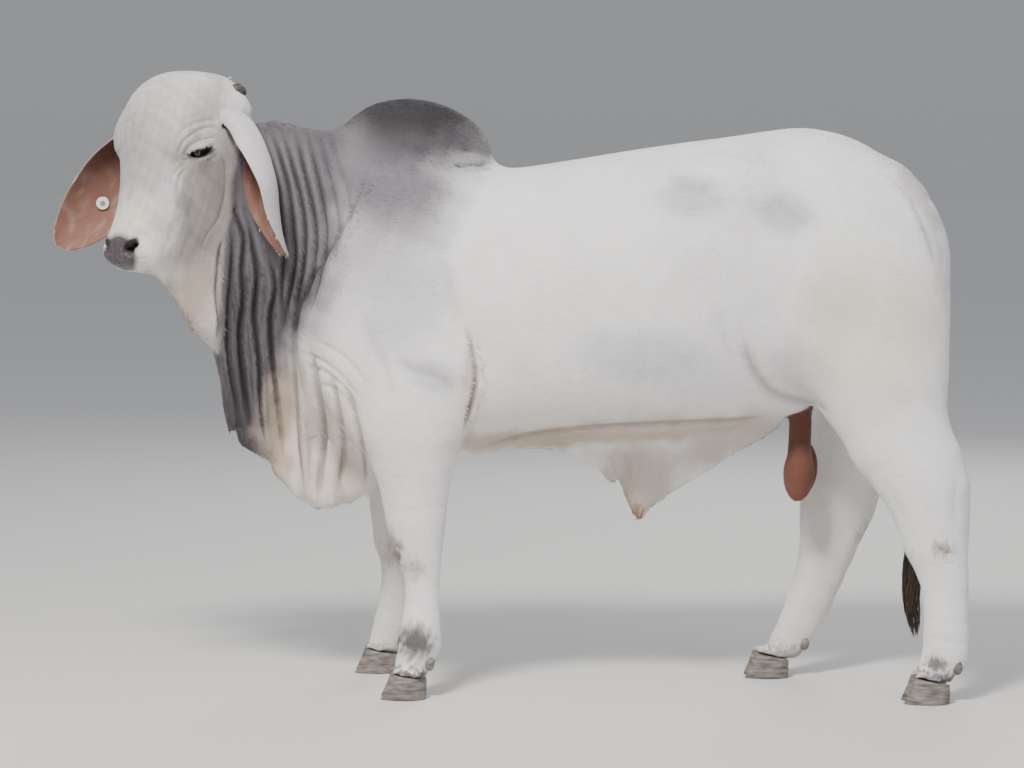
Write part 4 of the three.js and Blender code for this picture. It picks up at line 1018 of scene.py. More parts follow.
# Each patch: its middle on the photograph, its half width and height, its turn; its colour; how much
BODY_COLOUR_AND_SHADE = [
    ((400, 205, 60, 50, 0.4), shade(150, 146, 152), 0.75),
    ((384, 178, 66, 46, 0.3), shade(104, 100, 106), 0.85),
    ((420, 125, 92, 44, 0.05), shade(64, 61, 65), 0.95),
    ((415, 108, 90, 28, 0.05), shade(42, 40, 43), 0.9),
    ((478, 135, 22, 30, 0.3), shade(84, 80, 84), 0.7),
    ((470, 160, 26, 10, 0.0), shade(150, 146, 150), 0.7),
    ((430, 375, 34, 18, 0.3), shade(170, 166, 172), 0.45),
    ((402, 300, 50, 66, 0.4), shade(184, 181, 186), 0.6),
    # The next four patches are painted shade: soft grey where the back, the ribs and the flank turn from the
    # light.
    ((690, 196, 38, 24, 0.0), shade(168, 166, 172), 0.6),
    ((785, 214, 34, 24, 0.3), shade(166, 164, 172), 0.6),
    ((640, 356, 74, 30, 0.1), shade(192, 190, 196), 0.6),
    ((806, 372, 46, 28, 0.5), shade(186, 182, 184), 0.6),
    ((872, 335, 78, 84, 0.3), shade(214, 202, 186), 0.7),
    ((838, 300, 44, 34, 0.0), shade(208, 196, 178), 0.4),
    ((915, 190, 12, 40, -0.5), shade(168, 160, 158), 0.55),
    ((936, 250, 7, 60, -0.15), shade(190, 180, 172), 0.5),
    ((470, 395, 10, 60, 0.0), shade(176, 150, 118), 0.55),
    # The next three bands along the belly are its own cream and tan, deepened as painted shade under the
    # belly.
    ((520, 440, 80, 12, -0.05), shade(178, 158, 136), 0.8),
    ((640, 430, 130, 14, -0.05), shade(182, 164, 144), 0.8),
    ((600, 420, 200, 14, -0.03), shade(216, 206, 194), 0.5),
    ((640, 480, 44, 44, 0.4), shade(180, 160, 142), 0.7),
    ((634, 512, 14, 12, 0.0), shade(150, 116, 90), 0.8),
    ((725, 440, 60, 22, -0.4), shade(188, 172, 160), 0.7),
]
LEG_PATCHES = [
    ((394, 552, 8, 15, 0.1), shade(92, 86, 84), 0.9),
    ((414, 568, 13, 9, 0.0), shade(176, 148, 120), 0.7),
    ((416, 642, 21, 19, 0.2), shade(72, 68, 68), 0.92),
    ((403, 682, 26, 10, 0.0), shade(104, 98, 98), 0.85),
    ((944, 548, 13, 9, 0.2), shade(160, 132, 108), 0.7),
    ((936, 664, 12, 10, 0.2), shade(96, 90, 90), 0.9),
    ((926, 682, 24, 8, 0.0), shade(110, 104, 102), 0.8),
    ((966, 672, 8, 10, 0.0), shade(150, 132, 112), 0.6),
    ((780, 649, 6, 7, 0.3), shade(86, 80, 80), 0.9),
    ((757, 666, 7, 7, 0.2), shade(96, 90, 90), 0.8),
    ((865, 532, 4, 15, 0.5), shade(130, 120, 116), 0.6),
    ((385, 560, 8, 40, 0.1), shade(190, 176, 164), 0.5),
    ((382, 655, 12, 10, 0.0), shade(120, 114, 114), 0.6),
]
HEAD_PATCHES = [
    ((170, 165, 88, 110, 0.0), shade(148, 142, 139), 0.75),
    ((190, 100, 40, 22, -0.2), shade(196, 189, 184), 0.5),
    ((138, 150, 18, 44, -0.1), shade(166, 161, 163), 0.75),
    ((158, 165, 20, 40, 0.1), shade(172, 167, 169), 0.65),
    ((146, 121, 3, 7, 0.3), shade(150, 142, 138), 0.5),
    ((206, 132, 26, 14, -0.3), shade(216, 208, 200), 0.6),
    ((196, 176, 26, 16, 0.2), shade(176, 164, 154), 0.7),
    ((203, 212, 27, 48, 0.1), shade(150, 143, 139), 0.85),
    ((170, 200, 14, 40, 0.0), shade(206, 204, 206), 0.5),
    ((140, 210, 26, 20, 0.0), shade(220, 212, 202), 0.7),
    ((130, 222, 26, 10, 0.1), shade(226, 214, 196), 0.6),
    ((158, 248, 16, 22, 0.0), shade(228, 222, 214), 0.8),
    ((170, 226, 10, 26, 0.2), shade(226, 224, 224), 0.6),
    ((122, 268, 22, 7, 0.15), shade(176, 160, 148), 0.8),
    ((204, 262, 26, 44, 0.2), shade(146, 136, 128), 0.8),
    ((186, 304, 26, 44, 0.3), shade(176, 160, 144), 0.85),
    ((224, 200, 12, 60, 0.0), shade(146, 138, 132), 0.7),
    ((160, 285, 9, 20, -0.6), shade(196, 164, 126), 0.8),
]


def patch_of(seen, centre_x, centre_y, wide, tall, turn):
    off = seen - (centre_x, centre_y)
    a = off[:, 0] * math.cos(turn) + off[:, 1] * math.sin(turn)
    b = off[:, 1] * math.cos(turn) - off[:, 0] * math.sin(turn)
    return soft_step(1.25, 0.45, np.sqrt((a / wide) ** 2 + (b / tall) ** 2))


def blend_in(colour, new, share):
    return colour + (new - colour) * np.clip(share, 0, 1)[:, None]


def beside(seen, line, soft):
    """1 to the left of a line drawn from the top down, 0 to its right."""
    gap = from_line(seen, line)[0]
    at, down = np.array(line).T
    left_of_it = seen[:, 0] < np.interp(seen[:, 1], down, at)
    return soft_step(soft, -soft, gap * np.where(left_of_it, -1, 1))


GREY_EDGE = [(500, 60), (496, 150), (470, 186), (430, 226), (392, 262), (352, 300), (330, 330), (300, 345),
             (290, 370), (280, 410), (274, 440), (268, 480)]
FACE_EDGE = [(264, 60), (258, 92), (252, 122), (238, 150), (230, 180), (228, 215), (222, 240), (220, 290),
             (219, 360)]
CHARCOAL_EDGE = [(352, 60), (350, 120), (346, 170), (340, 215), (330, 262), (314, 300), (292, 330),
                 (284, 360), (274, 400), (268, 450), (262, 490)]


def speckle(seen, size, seed):
    one_way = ripple(seen, (size, size * 1.7), 0.4, seed)
    other_way = ripple(seen, (size * 0.8, size * 1.3), 2.0, seed + 1)
    return 0.5 + 0.25 * (one_way + other_way)


def paint(places, ways, traits):
    fold, _, _, _, ear, _ = traits.T
    seen = near_side(places)[0]
    x, y, z = places.T
    px, py = seen.T
    own = in_head(in_millimetres(places))
    head = beside(seen, FACE_EDGE, 5) * (x < -0.66) * soft_step(358, 346, py)
    head = np.maximum(head, ear)
    uneven = (speckle(seen, 26, 8) - 0.5) * 14
    nudged = seen + np.stack([uneven, uneven * 0.6], 1)
    colour = np.tile(WHITE, (len(places), 1))
    body = 1 - head
    grey = beside(nudged, GREY_EDGE, 34) * body * (x < 0.2) * soft_step(470, 440, py)
    colour = blend_in(colour, shade(176, 172, 177), grey * 0.9)
    dark = beside(nudged, CHARCOAL_EDGE, 22) * body * (z > 0.45) * (x < -0.2)
    colour = blend_in(colour, shade(90, 86, 90), dark)
    colour = blend_in(colour, shade(64, 60, 61), dark * soft_step(220, 330, py) * 0.85)
    for patch, tint, amount in BODY_COLOUR_AND_SHADE:
        colour = blend_in(colour, tint, patch_of(nudged, *patch) * amount * body)
    flap = body * (z > 0.42) * (x < -0.35) * (1 - dark)
    lower = soft_step(345, 400, py) * soft_step(385, 350, px) * flap
    tan = beside(nudged, [(310, 330), (296, 400), (286, 480)], 12) * lower
    colour = blend_in(colour, shade(226, 214, 202), lower * 0.8)
    colour = blend_in(colour, TAN, tan * 0.8)
    leg = body * (z < 0.62)
    straight = on_photo(places)
    straight = straight + np.stack([speckle(straight, 7, 3) - 0.5, speckle(straight, 9, 4) - 0.5], 1) * 13
    for patch, tint, amount in LEG_PATCHES:
        colour = blend_in(colour, tint, patch_of(straight, *patch) * amount * leg)
    ragged = z + 0.05 * (speckle(straight, 6, 9) - 0.5)
    colour = blend_in(colour, shade(92, 87, 86), leg * soft_step(0.088, 0.066, ragged) * 0.9)
    # Painted shade: the inner sides of the legs below the body, which face each other, are darker and
    # warmer.
    inward = np.where(y < 0, ways[:, 1], -ways[:, 1])
    inner = leg * soft_step(0.66, 0.5, z) * soft_step(0.0, 0.6, inward)
    colour = blend_in(colour, shade(206, 198, 190), inner * 0.5)
    for patch, tint, amount in HEAD_PATCHES:
        colour = blend_in(colour, tint, patch_of(nudged, *patch) * amount * head)
    under = soft_step(-200, -262, own[:, 2]) * head * soft_step(120, 260, own[:, 0])
    colour = blend_in(colour, shade(168, 156, 148), under * 0.6)
    wide = 0.075 - 0.035 * soft_step(0.64, 0.69, z)
    bag = body * soft_step(0.014, 0.0, np.abs(x - BAG_AT) - wide) * soft_step(0.80, 0.74, z) * (z > 0.45)
    bag = bag * soft_step(0.098, 0.090, np.abs(y) + 0.5 * np.maximum(z - 0.66, 0))
    colour = blend_in(colour, shade(104, 66, 54), bag)
    colour = blend_in(colour, shade(126, 76, 60), bag * soft_step(0.56, 0.51, z) * 0.6)
    tail = body * (x > 1.04) * soft_step(0.05, 0.03, np.abs(y)) * soft_step(1.40, 1.34, z)
    colour = blend_in(colour, shade(188, 184, 188), tail * 0.8)
    # Painted shade in the valleys of the folds, darkest in the charcoal neck, and painted light on the
    # crests of the folds there.
    valley = soft_step(0.0006, 0.006, -fold)
    deep = np.where(dark > 0.4, 0.62, np.where(head > 0.5, 0.30, 0.42))
    colour = colour * (1 - deep * valley)[:, None]
    lit_crest = soft_step(0.0, 0.0015, fold) * dark
    colour = blend_in(colour, CREST_LIGHT, lit_crest * 0.35)
    return paint_face(colour, own, seen, traits)


# %% [markdown]
# The face ends with its bare parts. The pad of the nose is slate with pink freckles, the lids are
# nearly black, and the nostrils and the slit of the eye are near black as painted shade. The hollow
# side of each ear is bare pink skin inside a pale rim, with painted shade at its root and painted
# light toward its tip.

# %% Nose, lids and ears
def paint_face(colour, own, seen, traits):
    _, slit, hole, pad, ear, ear_hollow = traits.T
    freckle = soft_step(0.62, 0.75, speckle(seen, 2.6, 21))
    nose = blend_in(np.tile(shade(74, 66, 70), (len(own), 1)), shade(132, 116, 116), freckle * 0.5)
    muzzle = (own[:, 0] > 380) * (own[:, 2] > -140)
    rest_of_pad = np.clip(1.4 * patch_of(seen, 121, 246, 20, 12, 0.1), 0, 1) * muzzle
    pad = np.maximum(pad * (own[:, 2] > -120), rest_of_pad * (1 - ear))
    colour = colour + (nose - colour) * pad[:, None]
    # Painted shade: the hollow of each nostril is near black.
    nostril_shade = np.clip(1.5 * patch_of(seen, 134.5, 244.5, 9.5, 5.6, -0.7), 0, 1) * muzzle
    colour = blend_in(colour, shade(16, 12, 13), np.maximum(hole, nostril_shade * (1 - ear)))
    along, across, outward = by_eye(own)
    lid = soft_step(1.15, 0.72, np.hypot(along / 50, (across + 1) / 14)) * (outward > -34) * (1 - ear)
    near_eye = (own[:, 2] > -200) & (np.abs(own[:, 1]) > 70)
    colour = blend_in(colour, shade(46, 38, 36), lid * near_eye * 0.95)
    # Painted shade: the slit of the eye, drawn back behind the lids, is near black.
    colour = blend_in(colour, shade(20, 15, 14), slit)
    # Painted shade at the root of the ear's hollow, fading to painted light toward its tip, over the skin's
    # own pink.
    lit = soft_step(80, 330, own[:, 0])
    hollow_skin_and_shade = blend_in(np.tile(shade(72, 43, 34), (len(own), 1)), shade(132, 94, 82), lit)
    streak = soft_step(0.5, 0.85, speckle(own[:, :2] * (0.16, 1.0), 14, 5))
    streak = streak * soft_step(150, 280, own[:, 0])
    hollow_skin_and_shade = blend_in(hollow_skin_and_shade, shade(186, 178, 178), streak * 0.2)
    colour = blend_in(colour, shade(196, 192, 194), ear)
    colour = colour + (hollow_skin_and_shade - colour) * ear_hollow[:, None]
    mottle = speckle(seen * (1.0, 0.55), 7, 33) - 0.5
    face = soft_step(235, 222, seen[:, 0]) * (own[:, 0] < 430) * (own[:, 2] > -300) * (1 - ear)
    colour = colour * (1 + 0.34 * mottle * face * (colour.mean(1) > 0.2))[:, None]
    return np.clip(colour, 0, 1)


def give_colour(piece, colour):
    layer = piece.data.color_attributes.new("coat colour", "FLOAT_COLOR", "POINT")
    layer.data.foreach_set("color", np.hstack([colour, np.ones((len(colour), 1))]).ravel())


skin_colour = paint(points_of(skin), facing_of(skin), skin_traits)
give_colour(skin, skin_colour)
print("Skin painted, mean colour", skin_colour.mean(0).round(2))

# %% [markdown]
# ## Hide, nose and horn as materials
# Close up, a short coat is a fine grain of hairs that lie one way, over skin with soft lumps. The
# grain is one node group, placed in each material with its own fineness: noise stretched along
# the lie of the hair, from the back down to the legs, and a broken tone that lightens and darkens
# the colour. It gives out only a tone and a height. The colour itself comes from the points.

# %% The grain of the coat as a node group
def hair_grain():
    group = bpy.data.node_groups.new("Hair grain", "ShaderNodeTree")
    for name, way in (("Fineness", "INPUT"), ("Tone", "OUTPUT"), ("Height", "OUTPUT")):
        group.interface.new_socket(name=name, in_out=way, socket_type="NodeSocketFloat")
    nodes, links = group.nodes, group.links
    start, end = nodes.new("NodeGroupInput"), nodes.new("NodeGroupOutput")
    place = nodes.new("ShaderNodeTexCoord")
    streaks = []
    for turn, squeeze in ((0.30, (34, 190, 240)), (1.45, (46, 230, 230))):
        mapping = nodes.new("ShaderNodeMapping")
        mapping.inputs["Rotation"].default_value = (0, turn, 0)
        mapping.inputs["Scale"].default_value = squeeze
        noise = nodes.new("ShaderNodeTexNoise")
        noise.inputs["Detail"].default_value = 4
        noise.inputs["Roughness"].default_value = 0.62
        links.new(place.outputs["Object"], mapping.inputs["Vector"])
        links.new(mapping.outputs["Vector"], noise.inputs["Vector"])
        links.new(start.outputs["Fineness"], noise.inputs["Scale"])
        streaks.append(noise)
    split = nodes.new("ShaderNodeSeparateXYZ")
    low = nodes.new("ShaderNodeMapRange")
    low.inputs["From Min"].default_value, low.inputs["From Max"].default_value = 0.95, 0.62
    links.new(place.outputs["Object"], split.inputs["Vector"])
    links.new(split.outputs["Z"], low.inputs["Value"])
    grain = nodes.new("ShaderNodeMix")
    links.new(low.outputs["Result"], grain.inputs["Factor"])
    links.new(streaks[0].outputs["Fac"], grain.inputs["A"])
    links.new(streaks[1].outputs["Fac"], grain.inputs["B"])
    lumps = nodes.new("ShaderNodeTexNoise")
    lumps.inputs["Scale"].default_value = 38
    lumps.inputs["Detail"].default_value = 3
    links.new(place.outputs["Object"], lumps.inputs["Vector"])
    clouds = nodes.new("ShaderNodeTexNoise")
    clouds.inputs["Scale"].default_value = 7
    clouds.inputs["Detail"].default_value = 5
    clouds.inputs["Roughness"].default_value = 0.6
    links.new(place.outputs["Object"], clouds.inputs["Vector"])
    height = nodes.new("ShaderNodeMath")
    height.operation = "MULTIPLY_ADD"
    height.inputs[1].default_value = 0.55
    links.new(lumps.outputs["Fac"], height.inputs[0])
    links.new(grain.outputs["Result"], height.inputs[2])
    both = nodes.new("ShaderNodeMath")
    both.operation = "MULTIPLY_ADD"
    both.inputs[1].default_value = 1.1
    links.new(grain.outputs["Result"], both.inputs[0])
    links.new(clouds.outputs["Fac"], both.inputs[2])
    tone = nodes.new("ShaderNodeMapRange")
    tone.inputs["From Min"].default_value, tone.inputs["From Max"].default_value = 0.72, 1.4
    tone.inputs["To Min"].default_value, tone.inputs["To Max"].default_value = 0.87, 1.08
    links.new(both.outputs["Value"], tone.inputs["Value"])
    links.new(tone.outputs["Result"], end.inputs["Tone"])
    links.new(height.outputs["Value"], end.inputs["Height"])
    return group


HAIR_GRAIN = hair_grain()

# %% [markdown]
# The hide itself has almost no gloss, only the soft sheen of hair. The tufts take the same
# material with a finer bump. Bare parts, such as the nose, are marked in a second layer of values
# that makes them smoother, so one material covers the whole skin without a seam.

# %% The materials of hide and coat
def new_material(name):
    material = bpy.data.materials.new(name)
    material.use_nodes = True
    nodes = material.node_tree.nodes
    return material, nodes, material.node_tree.links, nodes["Principled BSDF"]


def hide_material(name, fineness, bump, sheen):
    material, nodes, links, hide = new_material(name)
    colour = nodes.new("ShaderNodeAttribute")
    colour.attribute_name = "coat colour"
    grain = nodes.new("ShaderNodeGroup")
    grain.node_tree = HAIR_GRAIN
    grain.inputs["Fineness"].default_value = fineness
    toned = nodes.new("ShaderNodeVectorMath")
    toned.operation = "SCALE"
    links.new(colour.outputs["Color"], toned.inputs[0])
    links.new(grain.outputs["Tone"], toned.inputs["Scale"])
    links.new(toned.outputs["Vector"], hide.inputs["Base Color"])
    wet = nodes.new("ShaderNodeAttribute")
    wet.attribute_name = "bare"
    rough = nodes.new("ShaderNodeMapRange")
    rough.inputs["To Min"].default_value, rough.inputs["To Max"].default_value = 0.78, 0.34
    links.new(wet.outputs["Fac"], rough.inputs["Value"])
    links.new(rough.outputs["Result"], hide.inputs["Roughness"])
    relief = nodes.new("ShaderNodeBump")
    relief.inputs["Strength"].default_value = bump
    relief.inputs["Distance"].default_value = 0.002
    links.new(grain.outputs["Height"], relief.inputs["Height"])
    links.new(relief.outputs["Normal"], hide.inputs["Normal"])
    hide.inputs["Specular IOR Level"].default_value = 0.28
    hide.inputs["Sheen Weight"].default_value = sheen
    hide.inputs["Sheen Roughness"].default_value = 0.5
    return material


HIDE = hide_material("Hide", 1.0, 0.42, 0.1)
COAT = hide_material("Coat hair", 1.6, 0.15, 0.1)


def noisy_material(name, low, high, scale, rough, stretch=(1, 1, 1), bump=0.3, gloss=0.4):
    """A finish whose colour wanders between two tones over a stretched noise."""
    material, nodes, links, surface = new_material(name)
    place = nodes.new("ShaderNodeTexCoord")
    mapping = nodes.new("ShaderNodeMapping")
    mapping.inputs["Scale"].default_value = stretch
    noise = nodes.new("ShaderNodeTexNoise")
    noise.inputs["Scale"].default_value = scale
    noise.inputs["Detail"].default_value = 5
    ramp = nodes.new("ShaderNodeValToRGB")
    ramp.color_ramp.elements[0].position, ramp.color_ramp.elements[1].position = 0.3, 0.7
    ramp.color_ramp.elements[0].color = (*low, 1)
    ramp.color_ramp.elements[1].color = (*high, 1)
    relief = nodes.new("ShaderNodeBump")
    relief.inputs["Strength"].default_value = bump
    relief.inputs["Distance"].default_value = 0.001
    links.new(place.outputs["Object"], mapping.inputs["Vector"])
    links.new(mapping.outputs["Vector"], noise.inputs["Vector"])
    links.new(noise.outputs["Fac"], ramp.inputs["Fac"])
    links.new(noise.outputs["Fac"], relief.inputs["Height"])
    links.new(ramp.outputs["Color"], surface.inputs["Base Color"])
    links.new(relief.outputs["Normal"], surface.inputs["Normal"])
    surface.inputs["Roughness"].default_value = rough
    surface.inputs["Specular IOR Level"].default_value = gloss
    return material


GREY_HORN, PALE_HORN = shade(78, 73, 71), shade(146, 138, 132)
DARK_BUD, WORN_BUD = shade(44, 41, 40), shade(92, 86, 82)
BLACK_HAIR, BROWN_HAIR = shade(22, 17, 14), shade(70, 56, 44)
CLAW_HORN = noisy_material("Claw horn", GREY_HORN, PALE_HORN, 26, 0.55, (1, 1, 5), 0.5)
BUD_HORN = noisy_material("Horn bud", DARK_BUD, WORN_BUD, 60, 0.6, (1, 1, 3), 0.7)
SWITCH_HAIR = noisy_material("Switch hair", BLACK_HAIR, BROWN_HAIR, 120, 0.5, (1, 1, 0.08), 0.6)
TAG_WHITE = noisy_material("Tag plastic", shade(222, 222, 216), shade(240, 240, 236), 90, 0.4, bump=0.1)
TAG_GREY = noisy_material("Tag stud", shade(122, 126, 128), shade(150, 153, 155), 120, 0.42, bump=0.1)

skin.data.materials.clear()
skin.data.materials.append(HIDE)
bare = skin.data.attributes.new("bare", "FLOAT", "POINT")
bare.data.foreach_set("value", np.clip(skin_traits[:, 3] + skin_traits[:, 2] + skin_traits[:, 1], 0, 1))
for face in skin.data.polygons:
    face.use_smooth = True
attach(skin, "root")
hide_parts(*FLESH, "ear_left", "ear_right")

# %% [markdown]
# ## Eyes
# The globe is a ball that sits deep behind the lids. Only a dark slit of it shows. It starts as
# a UV sphere with its pole looking out, and its front is drawn out a little into the cornea. The
# iris is a dark brown ring round a pupil that lies level, painted by distance from the pole.

# %% The globes and their dark irises
def eye_material(side):
    material, nodes, links, globe = new_material(f"Eye {side}")
    place = nodes.new("ShaderNodeUVMap")
    place.uv_map = "globe"
    split = nodes.new("ShaderNodeSeparateXYZ")
    ramp = nodes.new("ShaderNodeValToRGB")
    stops = ((0.0, (6, 5, 6)), (0.22, (7, 6, 6)), (0.27, (24, 15, 10)), (0.42, (34, 21, 14)),
             (0.48, (12, 9, 8)), (0.56, (48, 40, 36)), (1.0, (66, 54, 48)))
    while len(ramp.color_ramp.elements) < len(stops):
        ramp.color_ramp.elements.new(0.5)
    for element, (at, tint) in zip(ramp.color_ramp.elements, stops):
        element.position, element.color = at, (*shade(*tint), 1)
    links.new(place.outputs["UV"], split.inputs["Vector"])
    links.new(split.outputs["Y"], ramp.inputs["Fac"])
    links.new(ramp.outputs["Color"], globe.inputs["Base Color"])
    globe.inputs["Roughness"].default_value = 0.2
    globe.inputs["Coat Weight"].default_value = 0.5
    globe.inputs["Coat Roughness"].default_value = 0.03
    return material


def to_world(own):
    own = np.atleast_2d(own).astype(float).copy()
    own[:, 1] -= muzzle_shift(own[:, 0])
    return (own @ HEAD_AXES + POLL) / 1000 + ROW_FRAME


def eyeball(side, sign):
    bpy.ops.object.select_all(action="DESELECT")
    bpy.ops.mesh.primitive_uv_sphere_add(segments=40, ring_count=24, radius=1)
    globe = bpy.context.object
    globe.name = globe.data.name = f"eye_{side}_globe"
    ball = points_of(globe)
    from_pole = np.arccos(np.clip(ball[:, 2], -1, 1)) / np.pi
    size = GLOBE_RADIUS + CORNEA * soft_step(0.17, 0.0, from_pole)
    along = np.array((math.cos(EYE_TILT), 0, math.sin(EYE_TILT)))
    across = np.array((-math.sin(EYE_TILT), 0, math.cos(EYE_TILT)))
    outward = unit(np.array((0.10, 1.0, 0.16)))
    own = EYE_AT + np.zeros((len(ball), 3))
    for k, way in enumerate((along, across, outward)):
        own = own + np.outer(ball[:, k] * size, way)
    own[:, 1] *= sign
    move_points(globe, to_world(own))
    level = np.hypot(ball[:, 0] * 0.72, ball[:, 1] * 1.25)
    layer = globe.data.uv_layers.new(name="globe")
    corners = np.empty(len(globe.data.loops), int)
    globe.data.loops.foreach_get("vertex_index", corners)
    values = np.stack([np.zeros(len(corners)), np.where(ball[corners, 2] > 0, level[corners] * 0.62, 1)], 1)
    layer.data.foreach_set("uv", values.ravel())
    choose(globe)
    bpy.ops.object.mode_set(mode="EDIT")
    bpy.ops.mesh.select_all(action="SELECT")
    bpy.ops.mesh.normals_make_consistent(inside=False)
    bpy.ops.object.mode_set(mode="OBJECT")
    bpy.ops.object.shade_smooth()
    globe.data.materials.append(eye_material(side))
    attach(globe, "root")
    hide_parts(f"eye_{side}")
    return globe


for side, sign in (("left", 1), ("right", -1)):
    middle = points_of(eyeball(side, sign)).mean(0).round(3)
    print(f"Eye {side}: middle of the globe at {middle}")

# %% [markdown]
# ## Horn buds, claws and ear tag
# These hard parts are the CAD pieces with their edges worked. A copy is remeshed with fine cubes
# and smoothed, so its sharp edges are rounded. Rings are then pressed into the claws, which are
# grey and worn at the toe, and knobs into the horn buds, which stand a little out of the hair.

# %% Round off copies of the hard pieces
HARD_CUBE = 0.0035
RING_EVERY = 0.009


def worked_copy(node, finish, rounds=2):
    piece = copy_of([node], f"{node}_worn")
    change(piece, "WELD", merge_threshold=SAME_POINT)
    change(piece, "REMESH", mode="VOXEL", voxel_size=HARD_CUBE)
    change(piece, "SMOOTH", iterations=rounds, factor=0.5)
    for face in piece.data.polygons:
        face.use_smooth = True
    piece.data.materials.append(finish)
    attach(piece, "root")
    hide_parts(node)
    return piece


BUD_GROWTH, BUD_LIFT = 1.22, 0.006
MIDDLE_OF_POLL = np.array((-932, -240, 1560)) / 1000 + ROW_FRAME
for leg in LEGS:
    for end in ("outer", "inner"):
        claw = worked_copy(f"{leg}_claw_{end}", CLAW_HORN, 3)
        places, ways = points_of(claw), facing_of(claw)
        rings = np.sin(places[:, 2] * 2 * np.pi / RING_EVERY + np.sin(places[:, 0] * 60))
        rings = rings * (np.abs(ways[:, 2]) < 0.7)
        chips = np.sin(places[:, 0] * 210 + places[:, 1] * 160) * soft_step(0.016, 0.0, places[:, 2])
        places += ways * (rings * 0.0005 + np.minimum(chips, 0) * 0.0008)[:, None]
        places[:, 2] = np.maximum(places[:, 2], 0)
        places[:, 2] = np.where(places[:, 2] < 0.0035, 0, places[:, 2])
        move_points(claw, places)
        worked_copy(f"{leg}_dewclaw_{end}", CLAW_HORN)
for side in ("left", "right"):
    bud = worked_copy(f"scur_{side}", BUD_HORN)
    places, ways = points_of(bud), facing_of(bud)
    knobs = np.sin(places[:, 0] * 300) * np.sin(places[:, 1] * 260 + 1) * np.sin(places[:, 2] * 340)
    middle = places.mean(0)
    out = unit(middle - MIDDLE_OF_POLL)
    places = middle + (places - middle) * BUD_GROWTH + out * BUD_LIFT
    move_points(bud, places + ways * (0.0012 * knobs)[:, None])

# %% [markdown]
# The ear tag is a white disc the size of a coin, held by a grey stud. Its edge is bevelled and a
# ring is pressed into its face, as on moulded plastic. The stud's head is a smaller bevelled disc.

# %% The ear tag and its stud
TAG_AT = np.array((-1097, 17, 1295)) / 1000 + ROW_FRAME
TAG_FACING = Vector((0.1, -0.98, -0.16)).normalized()


def tag_disc(title, radius, low, high, step):
    bpy.ops.object.select_all(action="DESELECT")
    middle = (0, 0, (low + high) / 2)
    bpy.ops.mesh.primitive_cylinder_add(vertices=48, radius=radius, depth=high - low, location=middle)
    disc = bpy.context.object
    disc.name = disc.data.name = title
    bpy.ops.object.transform_apply(location=True)
    bpy.ops.object.mode_set(mode="EDIT")
    bpy.ops.mesh.select_all(action="DESELECT")
    bpy.ops.object.mode_set(mode="OBJECT")
    for face in disc.data.polygons:
        face.select = face.normal.z > 0.9
    bpy.ops.object.mode_set(mode="EDIT")
    bpy.ops.mesh.select_mode(type="FACE")
    for inset, sink in step:
        bpy.ops.mesh.inset(thickness=inset, depth=sink)
    bpy.ops.object.mode_set(mode="OBJECT")
    turn = Vector((0, 0, 1)).rotation_difference(TAG_FACING).to_matrix()
    change(disc, "BEVEL", width=0.0006, segments=2, limit_method="ANGLE")
    disc.data.transform(turn.to_4x4())
    disc.data.transform(Matrix.Translation(TAG_AT))
    choose(disc)
    bpy.ops.object.shade_smooth_by_angle(angle=0.6)
    return disc


GROOVED = ((0.0012, 0.0), (0.0006, -0.0004), (0.0032, 0.0), (0.0007, 0.0006))
tag = tag_disc("ear_tag_disc", 0.017, -0.002, 0.0025, GROOVED)
tag.data.materials.append(TAG_WHITE)
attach(tag, "root")
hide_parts("ear_tag")
stud = tag_disc("ear_tag_stud", 0.0068, 0.0, 0.0043, ((0.0012, 0.0), (0.001, -0.0008)))
back = tag_disc("ear_tag_back", 0.013, -0.022, -0.018, ((0.001, 0.0),))
pin = tag_disc("ear_tag_shaft", 0.0034, -0.0195, 0.001, ((0.0008, 0.0),))
choose(stud, back, pin)
bpy.ops.object.join()
stud.data.materials.clear()
stud.data.materials.append(TAG_GREY)
for face in stud.data.polygons:
    face.material_index = 0
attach(stud, "root")
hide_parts("ear_tag_pin")

# %% [markdown]
# ## The switch of the tail
# The tail ends in long, wavy, dark hair. Particle hair would be lost in the export, so the switch
# is made of locks: each is a tapering tube of mesh that starts inside the end of the tail, swells
# outward, and comes together again at a ragged tip.

# %% Locks from the end of the tail
SWITCH_STOPS = [(1112, 0, 590), (1108, 0, 540), (1098, 0, 470), (1087, 0, 390), (1080, 0, 310),
                (1078, 0, 230), (1085, 0, 165), (1090, 0, 122)]
SWITCH_LINE = np.array(SWITCH_STOPS) / 1000 + ROW_FRAME
SWITCH_SPREAD = [(0, 8), (0.12, 13), (0.35, 22), (0.6, 26), (0.8, 21), (0.93, 12), (1, 6)]


def tube_faces(rings, around, offset):
    ring = np.arange(rings - 1)[:, None] * around
    here = np.arange(around)[None]
    after = (here + 1) % around
    quads = np.stack([ring + here, ring + after, ring + around + after, ring + around + here], -1)
    return quads.reshape(-1, 4) + offset


def mesh_of(title, places, faces, smooth=True):
    mesh = bpy.data.meshes.new(title)
    mesh.from_pydata(places.tolist(), [], [list(face) for face in faces])
    mesh.update()
    piece = bpy.data.objects.new(title, mesh)
    bpy.context.collection.objects.link(piece)
    mesh.polygons.foreach_set("use_smooth", [smooth] * len(mesh.polygons))
    return piece


